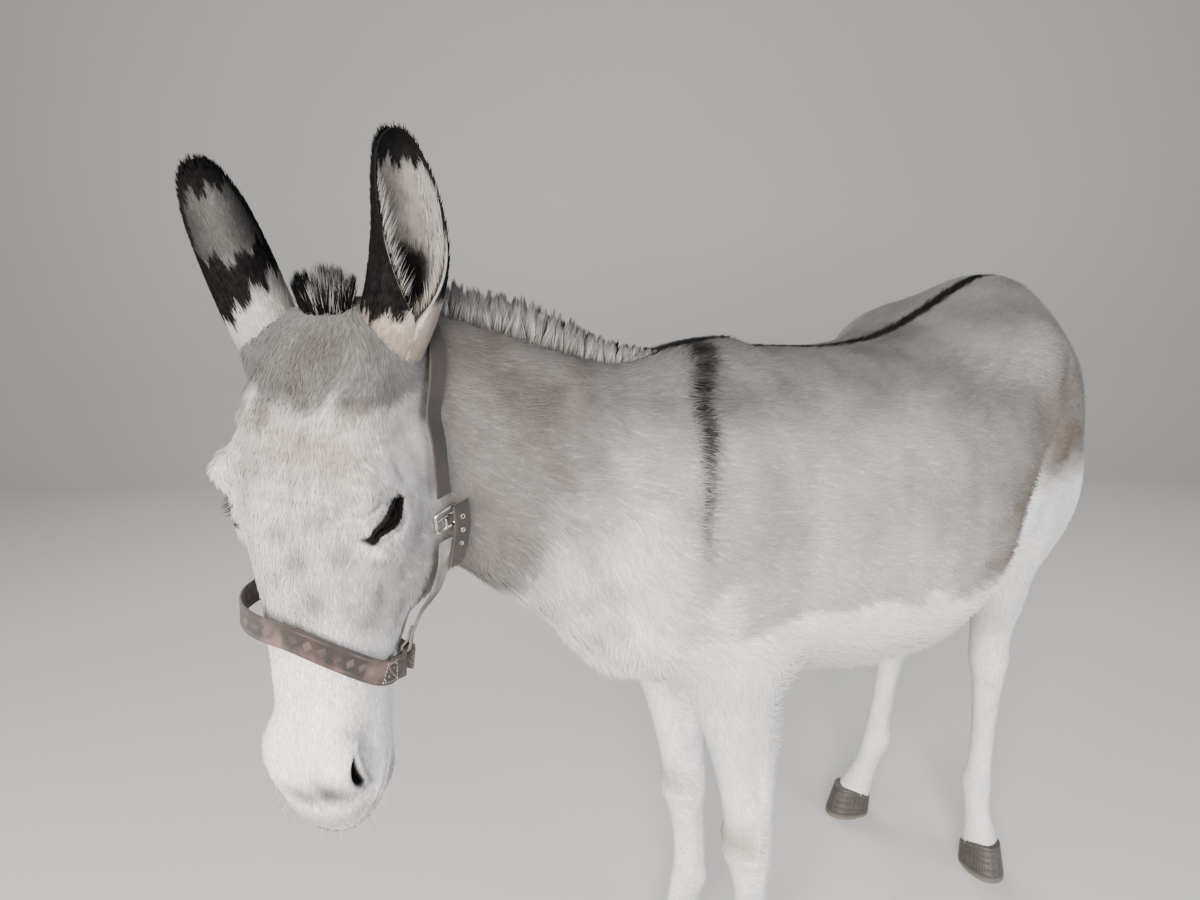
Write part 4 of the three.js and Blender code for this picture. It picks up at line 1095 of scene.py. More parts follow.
def hair_colours(f, tint):
    """The colour that the four shares give, clouded at the size of locks, and the grain of single hairs."""
    marks = f.add("Attribute", "Color", {"attribute_name": "Marks"})
    pale, dark, warm = f.add("SeparateColor", i0=marks).node.outputs
    smoky = marks.node.outputs["Alpha"]
    place = f.add("TexCoord", "Object")
    cloud, grain = (
        f.add("MapRange", 0, SMOOTH, i0=f.add("TexNoise", Vector=place, Scale=per(mm), Detail=detail), i1=0.3, i2=0.7)
        for mm, detail in ((45, 3), (3.2, 4)))
    dark = f.add("MapRange", 0, SMOOTH, i0=dark, i1=0.0, i2=0.92)
    paler = {name: towards(tint[name], tint["pale"], share)
             for name, share in (("taupe", 0.1), ("smoky", 0.2), ("warm", 0.25))}
    colour = f.add("Mix", 2, BLEND, i0=cloud, i6=tint["taupe"], i7=paler["taupe"])
    # one layer over another: its share, what it is clouded by, and its two colours
    for share, by, first, second in (
            (pale, cloud, towards(tint["pale"], tint["taupe"], 0.08), tint["pale"]),
            (smoky, cloud, tint["smoky"], paler["smoky"]), (warm, cloud, tint["warm"], paler["warm"]),
            (dark, grain, tint["dark"], towards(tint["dark"], tint["taupe"], 0.05))):
        layer = f.add("Mix", 2, BLEND, i0=by, i6=first, i7=second)
        colour = f.add("Mix", 2, BLEND, i0=share, i6=colour, i7=layer)
    return colour, grain


def skin_finish(tint):
    """Hide under short hair, as it lies flat: matt, with fine strokes along the hair and soft ruffles."""
    f = Finish("Short_Coat_Hide", 0.85, Specular_IOR_Level=0.15)
    colour, grain = hair_colours(f, tint)
    deep = f.add("Mix", 2, SHADE, i0=0.5, i6=colour, i7="#6f665e")
    between = f.add("MapRange", 0, SMOOTH, i0=grain, i1=0.0, i2=1.0, i4=0.35)
    place = f.add("TexCoord", "Object")
    ruffle, strokes = (
        f.add("TexNoise", Vector=f.add("Mapping", Vector=place, Scale=(1, 1, tall)), Scale=per(mm), Detail=detail)
        for mm, tall, detail in ((9, 2.2, 4), (2.2, 0.5, 3)))
    normal = f.add("Bump", Height=ruffle, Distance=1.2 * MM, Strength=0.5)
    f.put(f.surface, Base_Color=f.add("Mix", 2, BLEND, i0=between, i6=colour, i7=deep),
          Normal=f.add("Bump", Height=strokes, Distance=0.5 * MM, Strength=0.6, Normal=normal))
    return f.material


# the colour that hair is multiplied by: painted shade at the root of each tuft, and the random darker tufts
ROOT_SHADE_AND_TONE = "#6d6259"  # what hair is darkened by where it is shaded


def coat_finish(tint):
    """Short guard hairs: matt, with painted shade darkening each tuft towards its root, each tuft a touch lighter or
    darker.
    """
    f = Finish("Coat_Hair", 0.82, Specular_IOR_Level=0.08)
    colour = hair_colours(f, tint)[0]
    vary, rise = (f.add("Attribute", "Fac", {"attribute_name": name}) for name in ("Vary", "Rise"))
    deep = f.add("Mix", 2, SHADE, i0=0.22, i6=colour, i7=ROOT_SHADE_AND_TONE)
    tuft = f.add("Mix", 2, BLEND, i0=vary, i6=deep, i7=colour)
    # painted shade: the root end of each tuft is darkened by up to a fifth, where the tufts shade one another
    root = f.add("MapRange", 0, SMOOTH, i0=rise, i1=0.0, i2=1.0, i3=0.2, i4=0.0)
    f.put(f.surface, Base_Color=f.add("Mix", 2, SHADE, i0=root, i6=tuft, i7=ROOT_SHADE_AND_TONE))
    return f.material


# ---------------------------------------------------------------- pieces
FLESH = ("trunk", "neck", "head", "foreleg_left", "foreleg_right", "hindleg_left", "hindleg_right",
         "ear_left", "ear_right", "tail")


def build_skin(tint):
    """The whole skin with both ears, carrying the markings; returns the points and triangles without the ears."""
    points, tris = build_skin_points()
    points = sculpt(points, tris)
    parts, faces, shares = [points], [tris], [markings(points)]
    count, along = len(points), len(EAR_SHARES)
    curl = profile(EAR_ROWS, 3)
    # round each ring: the outer face, one edge, the inner face and the other edge
    row = np.concatenate([np.linspace(1, -1, EAR_ACROSS), [-1] * EAR_EDGE,
                          np.linspace(-1, 1, EAR_ACROSS), [1] * EAR_EDGE])
    within = np.concatenate([[0] * (EAR_ACROSS + 1), [1] * (EAR_ACROSS + 4), [0]]).astype(bool)
    share = np.repeat(EAR_SHARES, len(row))
    half = np.radians(curl(share))
    for s in (1, -1):
        ear_points, ear_tris = ear_skin(s)
        ear_marks = ear_markings(s, share, np.tile(row, along) * half, half, np.tile(within, along))
        parts.append(ear_points)
        faces.append(ear_tris + count)
        shares.append(np.concatenate([ear_marks, ear_marks[:1], ear_marks[-1:]]))
        count += len(ear_points)
    skin = make_mesh("Skin", np.concatenate(parts), np.concatenate(faces))
    carry(skin, np.concatenate(shares))
    skin.data.materials.append(skin_finish(tint))
    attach(skin, "root")
    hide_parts(*FLESH)
    return points, tris


def eye_finish(settings):
    """A wet dark eye: near-black brown, mirror smooth under the tear film, with a slot-shaped pupil."""
    f = Finish("Wet_Eye", 0.04, IOR=1.34, Specular_IOR_Level=0.22)
    iris = f.add("Attribute", "Fac", {"attribute_name": "Iris"})
    colour = settings.pupil
    for start, end, ring in ((0.15, 0.25, settings.iris), (0.62, 0.8, "#0b0706")):
        share = f.add("MapRange", 0, SMOOTH, i0=iris, i1=start, i2=end)
        colour = f.add("Mix", 2, BLEND, i0=share, i6=colour, i7=ring)
    f.put(f.surface, Base_Color=colour)
    return f.material


def build_eye(s, name, node, settings):
    """An eyeball that bulges a little over the pupil."""
    axes = eye_axes(s)
    centre, along, up, out = axes
    rows, sides = 24, 40
    R = EYE["radius"] - 0.4
    points = []
    for a in np.linspace(0, np.pi, rows):
        ring = np.linspace(0, 2 * np.pi, sides, endpoint=False)
        bulge = R + 1.4 * math.exp(-(a / 0.55) ** 2)
        d = np.sin(a)[None] * np.stack([np.cos(ring), np.sin(ring)], 1)
        points.append(centre + bulge * (d[:, :1] * along + d[:, 1:] * up + math.cos(a) * out))
    ball = make_mesh(name, np.concatenate(points), ring_faces(rows, sides))
    bm = bmesh.new()
    bm.from_mesh(ball.data)
    bmesh.ops.remove_doubles(bm, verts=bm.verts, dist=1e-5)
    bmesh.ops.recalc_face_normals(bm, faces=bm.faces)
    bm.to_mesh(ball.data)
    bm.free()
    u, v, w, _ = in_axes(np.array([v.co[:] for v in ball.data.vertices]) / MM - WITHERS, axes)
    angle = np.arctan2(np.hypot(u, v), w)
    # 0 in the slot of the pupil, 0.4 in the iris, 1 outside it
    store(ball, "Iris", np.where(np.hypot(u / 8.5, v / 4.2) < 1, 0.0, 0.4) + 0.6 * step(0.62, 0.72, angle))
    ball.data.materials.append(eye_finish(settings))
    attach(ball, "root")
    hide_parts(node)


def hoof_finish(settings):
    """Hoof horn: dull dark keratin with fine upright tubules, growth rings and a dusty worn edge."""
    f = Finish("Hoof_Horn", 0.5, Coat_Weight=0.12, Coat_Roughness=0.4)
    around, high = (f.add("Attribute", "Fac", {"attribute_name": name}) for name in ("Round", "High"))
    place = f.add("CombineXYZ", X=around, Y=high)
    # tubules and rings as so many round and up the wall
    tube, ring = (
        f.add("TexNoise", Vector=f.add("Mapping", Vector=place, Scale=(*lines, 1)), Scale=1.0, Detail=detail)
        for lines, detail in (((60, 1.2), 3.0), ((2, 14), 2.0)))
    colour = settings.horn
    for value, start, end, low, top, other in (
            (tube, 0.35, 0.65, 0.0, 1.0, settings.ridges), (ring, 0.4, 0.62, 0.0, 0.5, "#2e2a27"),
            (high, 0.0, 0.22, 0.75, 0.0, settings.dust)):
        share = f.add("MapRange", 0, SMOOTH, i0=value, i1=start, i2=end, i3=low, i4=top)
        colour = f.add("Mix", 2, BLEND, i0=share, i6=colour, i7=other)
    lines = f.add("Bump", Height=tube, Distance=0.5 * MM, Strength=0.7)
    f.put(f.surface, Base_Color=colour,
          Normal=f.add("Bump", Height=ring, Distance=0.9 * MM, Strength=0.6, Normal=lines),
          Roughness=f.add("MapRange", 0, SMOOTH, i0=tube, i1=0.3, i2=0.7, i3=0.38, i4=0.62))
    return f.material


def build_hoof(limb, name, node, finish):
    """A hoof: a tapering wall with growth rings, a bevelled sole edge and a flat sole."""
    x, y, c, sn = (float(v) for v in limb_axes(*LIMBS[limb])(np.array(0.0)))
    sides = 72
    # share of the wall's height, and size against the wall
    levels = [(-0.001, 0.90), (0.0, 0.955), (0.03, 0.985), (0.09, 1.0)]
    levels += [(t, 1.0) for t in np.linspace(0.16, 0.93, 16)] + [(0.965, 1.005), (0.985, 0.985), (1.0, 0.93)]
    rings, high = [], []
    around = np.linspace(0, 2 * np.pi, sides, endpoint=False)
    cos, sin = np.cos(around), np.sin(around)
    for t, grow in levels:
        reach = np.where(cos > 0, HOOF["toe"], HOOF["heel"])
        top = HOOF["back"] + (HOOF["front"] - HOOF["back"]) * step(-1.0, 0.9, cos) - 1.0
        z = max(t, 0) * top
        size = 1 + (HOOF["taper"] - 1) * z / HOOF["front"]
        wave = 1 + 0.008 * math.sin(t * 34) * (0.1 < t < 0.95) + 0.004 * math.sin(t * 71)
        cleft = 1 - 0.07 * np.exp(-((np.abs(around - np.pi)) / 0.16) ** 2)
        u = cos * reach * size * grow * wave * cleft - HOOF["rake"] * z / HOOF["front"]
        v = sin * HOOF["half"] * size * grow * wave * (1 - 0.1 * np.minimum(cos, 0))
        rings.append(np.stack([x + u * c - v * sn, y + u * sn + v * c, z], 1))
        high.append(np.full(sides, max(t, 0)))
    points = np.concatenate(rings)
    bottom, lid = rings[0].mean(0), rings[-1].mean(0)
    points = np.concatenate([points, [[bottom[0], bottom[1], 0.0]], [lid]])
    hoof = make_mesh(name, points, closed_rings(len(levels), sides, len(points)))
    store(hoof, "High", np.concatenate(high + [[0, 1]]))
    store(hoof, "Round", np.concatenate([np.tile(np.abs(around - np.pi) / np.pi, len(levels)), [0, 0]]))
    hoof.data.materials.append(finish)
    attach(hoof, "root")
    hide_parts(node)


# ---------------------------------------------------------------- headcollar
COLLAR = {
    "thick": 3.0, "lift": 4.0, "stitched": (46, 66),  # the stitching lies between these lengths from an end
    "nose": {"down": 286, "tip": 14, "dip": 41, "middle": -30, "slack": 16, "ends": 104},
    "chin": {"from": 141, "sag": 40, "slack": 22},
    "ring": {"at": 120, "radius": 12, "wire": 2.2},
    "crown": {"forward": -48, "down": 92, "tilt": 21, "ends": 88},
    "cheek": [[-52, 118], [-56, 145], [-63, 170]],
    "lower": {"left": [[-80, 218], [-84, 244], [-82, 270], [-75, 296], [-66, 316]],
              "right": [[-66, 182], [-76, 205], [-78, 228], [-71, 250]]},
    "buckle": {"forward": -72, "down": 195, "width": 30, "height": 26, "wire": 2.2},
    "end": {"lift": 10, "eyelets": (16, 32, 48), "places": [[-84, 178], [-94, 202], [-100, 226], [-104, 246]]},
}


def leave_body(origin, ways, limit=200.0):
    """Where rays from inside first leave the coat's outline."""
    reach = np.arange(1.0, limit, 2.0)
    places = origin[:, None] + reach[None, :, None] * ways[:, None]
    outside = cap_field(places.reshape(-1, 3)).reshape(len(ways), -1) > 0
    first = np.maximum(outside.argmax(1), 1)
    low, high = reach[first - 1], reach[first]
    for _ in range(9):
        middle = (low + high) / 2
        past = cap_field(origin + middle[:, None] * ways) > 0
        low, high = np.where(past, low, middle), np.where(past, middle, high)
    return origin + low[:, None] * ways


def facing(p):
    """The way out of the coat's outline at each place."""
    n = gradient(cap_field, p, 2.0)
    return n / np.linalg.norm(n, axis=1, keepdims=True)


def on_cheek(places, s, lift):
    """Places on the side of the head above the coat, from rows of forward and down."""
    origin = np.array([on_head(f, 0, d) for f, d in places])
    found = leave_body(origin, np.tile(head_way(0, s, 0), (len(origin), 1)))
    out = facing(found)
    return found + out * (lift + COLLAR["thick"] / 2), out


def round_nose(angles, down, lift, lying=False):
    """Places round the nose: angles in degrees from straight ahead to the left."""
    a = np.radians(angles)
    ways = np.stack([np.cos(a), np.sin(a), 0 * a], 1) @ HEAD_AXES.T
    origin = np.array([on_head(COLLAR["nose"]["middle"], 0, d) for d in down])
    found = leave_body(origin, ways)
    out = facing(found) if lying else ways
    return found + out * (np.asarray(lift) + COLLAR["thick"] / 2)[..., None], out


def nose_down(angles):
    """How far down the face the noseband runs at each angle round the nose."""
    side = np.sin(np.radians(np.clip(angles, -90, 90)))
    return COLLAR["nose"]["down"] + COLLAR["nose"]["tip"] * side + COLLAR["nose"]["dip"] * np.maximum(side, 0) ** 2


def nose_lift(angles):
    """How far the noseband stands off, which is more on the right."""
    return COLLAR["lift"] + COLLAR["nose"]["slack"] * (0.5 - 0.5 * np.sin(np.radians(angles))) ** 1.5


def lengths(path):
    """The distance along a path to each of its places."""
    return np.concatenate([[0], np.cumsum(np.linalg.norm(np.diff(path, axis=0), axis=1))])


def along_path(at, gaps, values):
    """Values of three columns at distances along a path."""
    return np.stack([np.interp(at, gaps, values[:, k]) for k in range(3)], -1)


def spread(places, outs, gap=2.5, soften=2):
    """The same path with a place every few millimetres, softened."""
    t = lengths(places)
    at = np.linspace(0, t[-1], max(int(t[-1] / gap), 3) + 1)
    slopes = np.gradient(places, t, axis=0)
    i = np.clip(np.searchsorted(t, at, side="right") - 1, 0, len(t) - 2)
    span = (t[i + 1] - t[i])[:, None]
    f = ((at - t[i]) / (t[i + 1] - t[i]))[:, None]
    g = 1 - f
    path = places[i] * (1 + 2 * f) * g * g + slopes[i] * span * f * g * g
    path += places[i + 1] * f * f * (3 - 2 * f) - slopes[i + 1] * span * f * f * g
    face_ = along_path(at, t, outs)
    for _ in range(soften):
        path[1:-1] = (path[:-2] + 2 * path[1:-1] + path[2:]) / 4
        face_[1:-1] = (face_[:-2] + 2 * face_[1:-1] + face_[2:]) / 4
    return path, face_ / np.linalg.norm(face_, axis=1, keepdims=True)


def loop_round(path, outs, bar, wire, back=24.0):
    """Takes the end of a strap round a wire and back under itself."""
    n = outs[-1]
    away = bar - path[-1]
    away -= n * (away @ n)
    way = away / max(np.linalg.norm(away), 1e-6)
    keep = np.linalg.norm(path - bar, axis=1) > 9
    path, outs = path[keep], outs[keep]
    round_ = wire + 1.5
    top = bar + n * round_
    steps = np.linspace(0, 1, 5)[1:]
    last = path[-1]
    reach = last + (top - last) * steps[:, None] + n * (np.sin(steps * np.pi) * 0.4)[:, None]
    turn = np.linspace(0, np.pi, 9)[1:]
    bend_out = np.cos(turn)[:, None] * n + np.sin(turn)[:, None] * way
    bend = bar + round_ * bend_out
    # the tail of the strap runs back just below the strap itself
    full, full_out = np.concatenate([path, reach]), np.concatenate([outs, np.tile(n, (4, 1))])
    gap = lengths(full[::-1])
    tail = np.arange(4.0, back, 2.5)
    below = np.interp(tail, [0, 9], [round_ * 2, 2.7])
    line_out = along_path(tail, gap, full_out[::-1])
    line = along_path(tail, gap, full[::-1]) - line_out * below[:, None]
    return np.concatenate([full, bend, line]), np.concatenate([full_out, bend_out, -line_out])


def strap_mesh(path, outs, width, thick=2.2):
    """A flat strap with rounded, slightly thicker edges along a path; also the way along and across in mm."""
    along = np.gradient(path, axis=0)
    along /= np.linalg.norm(along, axis=1, keepdims=True)
    n = outs - along * (outs * along).sum(1, keepdims=True)
    n /= np.linalg.norm(n, axis=1, keepdims=True)
    side = np.cross(along, n)
    half = width / 2
    v = np.concatenate([np.linspace(half - 1.2, -half + 1.2, 9), [-half + 0.35, -half, -half + 0.35],
                        np.linspace(-half + 1.2, half - 1.2, 9), [half - 0.35, half, half - 0.35]])
    w = np.concatenate([np.full(9, 0.5), [0.42, 0, -0.42], np.full(9, -0.5), [-0.42, 0, 0.42]]) * thick
    w = w * (1 + 0.10 * np.exp(-((np.abs(v) - half + 1.6) / 1.1) ** 2))
    rings = path[:, None] + side[:, None] * v[None, :, None] + n[:, None] * w[None, :, None]
    count, sides = rings.shape[:2]
    points = rings.reshape(-1, 3)
    caps = []
    for start in (0, (count - 1) * sides):
        for k in range(10):
            a, b = start + k, start + (20 - k) % sides
            c, d = start + k + 1, start + (19 - k) % sides
            caps += [[a, c, b], [c, d, b]] if start else [[a, b, c], [c, b, d]]
        k = [start + i for i in (20, 21, 22, 23, 0)]
        fan = [[k[0], k[i], k[i + 1]] for i in range(1, 4)]
        caps += fan if not start else [f[::-1] for f in fan]
    tris = outward(points, np.concatenate([as_triangles(ring_faces(count, sides).tolist()), caps]))
    return points, tris, np.repeat(lengths(path), sides), np.tile(v, count), (path, side, n, along)


STITCH = 3.6  # millimetres from one stitch to the next, drawn a little coarse so that they show


def stitches(strip, width, start, end):
    """Thread standing out of a strap between two lengths along it: a crossed box of small raised stitches."""
    length = lengths(strip[0])
    half = width / 2 - 3.0
    # each stitch: length along the strap, place across it, and whether it runs across (0), along (1) or aslant (2)
    spots = [(t, v, 1) for v in (-half, half) for t in np.arange(start, end, STITCH)]
    spots += [(t, v, 0) for t in (start, end) for v in np.arange(-half, half + 0.1, STITCH)]
    spots += [(start + (end - start) * f, half * (2 * f - 1) * sign, 2)
              for sign in (1, -1) for f in np.linspace(0.12, 0.88, 5)]
    # a bead: a point at each end and a ring of four places near each
    ring = [[1, 0], [0, 1], [-1, 0], [0, -1]]
    bead = np.array([[-1, 0, 0]] + [[x, *r] for x in (-0.55, 0.55) for r in ring] + [[1, 0, 0]])
    faces = []
    for k in range(4):
        a, b, c, d = 1 + k, 1 + (k + 1) % 4, 5 + (k + 1) % 4, 5 + k
        faces += [[a, b, c], [a, c, d], [0, b, a], [9, d, c]]
    points = []
    for t, v, kind in spots:
        p, across, n, along = (along_path(t, length, values) for values in strip)
        way = (across, along, (along + across) * 0.707)[kind]
        x, y, z = bead.T[:, :, None]
        points.append(p + across * v + n * 1.15 + x * way * 1.5 + y * np.cross(n, way) * 0.5 + z * n * 0.42)
    starts = np.arange(len(spots))[:, None, None] * len(bead)
    points, tris = np.concatenate(points), (np.array(faces) + starts).reshape(-1, 3)
    return points, outward(points, tris)


def tube(path, radius, out, sides=10, closed=True, flat=1.0):
    """Round wire along a path, which may be flattened along the way out."""
    ahead = np.roll(path, -1, 0) - np.roll(path, 1, 0) if closed else np.gradient(path, axis=0)
    ahead = ahead / np.linalg.norm(ahead, axis=1, keepdims=True)
    u = out - ahead * (ahead @ out)[:, None]
    u /= np.linalg.norm(u, axis=1, keepdims=True)
    v = np.cross(ahead, u)
    a = np.linspace(0, 2 * np.pi, sides, endpoint=False)
    radius = np.broadcast_to(radius, len(path))[:, None, None]
    way = np.cos(a)[None, :, None] * u[:, None] * flat + np.sin(a)[None, :, None] * v[:, None]
    points = (path[:, None] + radius * way).reshape(-1, 3)
    if closed:
        quads = ring_faces(len(path) + 1, sides) % len(points)
        return points, outward(points, as_triangles(quads.tolist()))
    first, last = path[:1] - ahead[:1] * radius[0, 0] * 0.6, path[-1:] + ahead[-1:] * radius[-1, 0] * 0.6
    points = np.concatenate([points, first, last])
    return points, outward(points, closed_rings(len(path), sides, len(points)))


def joined(name, parts, node):
    """One object from several closed meshes, each with its own finish and values."""
    points = np.concatenate([p["points"] for p in parts])
    starts = np.cumsum([0] + [len(p["points"]) for p in parts[:-1]])
    tris = np.concatenate([p["tris"] + s for p, s in zip(parts, starts)])
    piece = make_mesh(name, points, tris)
    finishes = list({p["finish"].name: p["finish"] for p in parts}.values())
    for finish in finishes:
        piece.data.materials.append(finish)
    index = np.concatenate([np.full(len(p["tris"]), finishes.index(p["finish"])) for p in parts])
    piece.data.polygons.foreach_set("material_index", index.astype(np.int32))
    for key in ("Along", "Across"):
        store(piece, key, np.concatenate([p.get(key, np.zeros(len(p["points"]))) for p in parts]))
    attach(piece, "root")
    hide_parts(node)


RIB, THREAD, LOZENGE = 2.0, 1.5, 7.0  # millimetres from one to the next


def webbing_finish(name, base, second, accent, pattern, width):
    """Worn woven tape: crossing ribs that catch the light, a faded woven pattern, dirt and frayed pale edges."""
    f = Finish(name, 0.86, Sheen_Weight=0.12)
    place = f.add("TexCoord", "Object")
    values = {key: f.add("Attribute", "Fac", {"attribute_name": key}) for key in ("Along", "Across")}
    # ribs across and warp threads along the tape; a row of lozenges down its middle, between two thin lines
    for key, operation, a, b in (
            ("rib", "MULTIPLY", "Along", 2 * math.pi / RIB), ("ribs", "SINE", "rib", 0.0),
            ("thread", "MULTIPLY", "Across", 2 * math.pi / THREAD), ("threads", "SINE", "thread", 0.0),
            ("weave", "MULTIPLY", "ribs", "threads"), ("repeat", "MULTIPLY", "Along", 1 / LOZENGE),
            ("wave", "PINGPONG", "repeat", 1.0), ("aside", "ABSOLUTE", "Across", 0.0),
            ("reach", "MULTIPLY", "aside", 1 / 7.5), ("lozenge", "ADD", "wave", "reach"),
            ("past", "SUBTRACT", "aside", width * 0.36), ("line", "ABSOLUTE", "past", 0.0)):
        values[key] = f.add("Math", 0, {"operation": operation}, i0=values.get(a, a), i1=values.get(b, b))
    # fading, wear, blots and dirt: size of the blotches in millimetres and detail
    for key, mm, detail in (("faded", 26, 3), ("wear", 16, 5), ("blot", 22, 5), ("dirt", 30, 4)):
        values[key] = f.add("TexNoise", Vector=place, Scale=per(mm), Detail=detail)
    # where each value starts and is full, and its strength there
    for key, start, end, low, top in (
            ("lozenge", 0.72, 0.62, 0.0, 1.0), ("line", 1.3, 0.7, 0.0, 0.7),
            ("faded", 0.38, 0.6, 0.15 * pattern, pattern), ("wear", 0.42, 0.66, 0.0, 0.85),
            ("blot", 0.5, 0.62, 0.0, 0.7), ("dirt", 0.35, 0.65, 0.0, 0.45),
            ("aside", width / 2 - 1.6, width / 2 - 0.1, 0.0, 0.35)):
        values[key] = f.add("MapRange", 0, SMOOTH, i0=values[key], i1=start, i2=end, i3=low, i4=top)
    values["shade"] = f.add("MapRange", 0, SMOOTH, i0=values["weave"], i1=-1.0, i2=1.0, i4=0.22)
    drawn = f.add("Math", 0, {"operation": "MAXIMUM"}, i0=values["lozenge"], i1=values["line"])
    values["drawn"] = f.add("Math", 0, {"operation": "MULTIPLY"}, i0=drawn, i1=values["faded"])
    colour = base
    for key, over in (("drawn", second), ("wear", accent), ("blot", "#2c2522"), ("dirt", "#2f2621"),
                      ("aside", "#62554d"), ("shade", "#221c19")):
        colour = f.add("Mix", 2, BLEND, i0=values[key], i6=colour, i7=over)
    fuzz = f.add("TexNoise", Vector=place, Scale=per(1.2), Detail=3)
    normal = f.add("Bump", Height=values["weave"], Distance=0.35 * MM, Strength=0.8)
    f.put(f.surface, Base_Color=colour,
          Normal=f.add("Bump", Height=fuzz, Distance=0.25 * MM, Strength=0.5, Normal=normal))
    return f.material


def thread_finish():
    """Waxed sewing thread: pale, dull, twisted."""
    f = Finish("Sewing_Thread", 0.7)
    twist = f.add("TexNoise", Vector=f.add("TexCoord", "Object"), Scale=per(0.8), Detail=3)
    share = f.add("MapRange", 0, SMOOTH, i0=twist, i1=0.35, i2=0.65)
    f.put(f.surface, Base_Color=f.add("Mix", 2, BLEND, i0=share, i6="#8f8376", i7="#b9ac9c"))
    return f.material


def fitting_finish():
    """Nickel-plated steel gone dull: bright where it rubs, brown-grey in the pits."""
    f = Finish("Nickel_Plate", 0.3, 1.0)
    place = f.add("TexCoord", "Object")
    tarnish = f.add("TexNoise", Vector=place, Scale=per(4), Detail=5)
    tarnish = f.add("MapRange", 0, SMOOTH, i0=tarnish, i1=0.45, i2=0.68)
    pits = f.add("TexNoise", Vector=place, Scale=per(1), Detail=3)
    f.put(f.surface, Base_Color=f.add("Mix", 2, BLEND, i0=tarnish, i6="#c9c6c0", i7="#6f665c"),
          Roughness=f.add("MapRange", 0, SMOOTH, i0=tarnish, i1=0.0, i2=1.0, i3=0.2, i4=0.55),
          Normal=f.add("Bump", Height=pits, Distance=0.05 * MM, Strength=0.5))
    return f.material


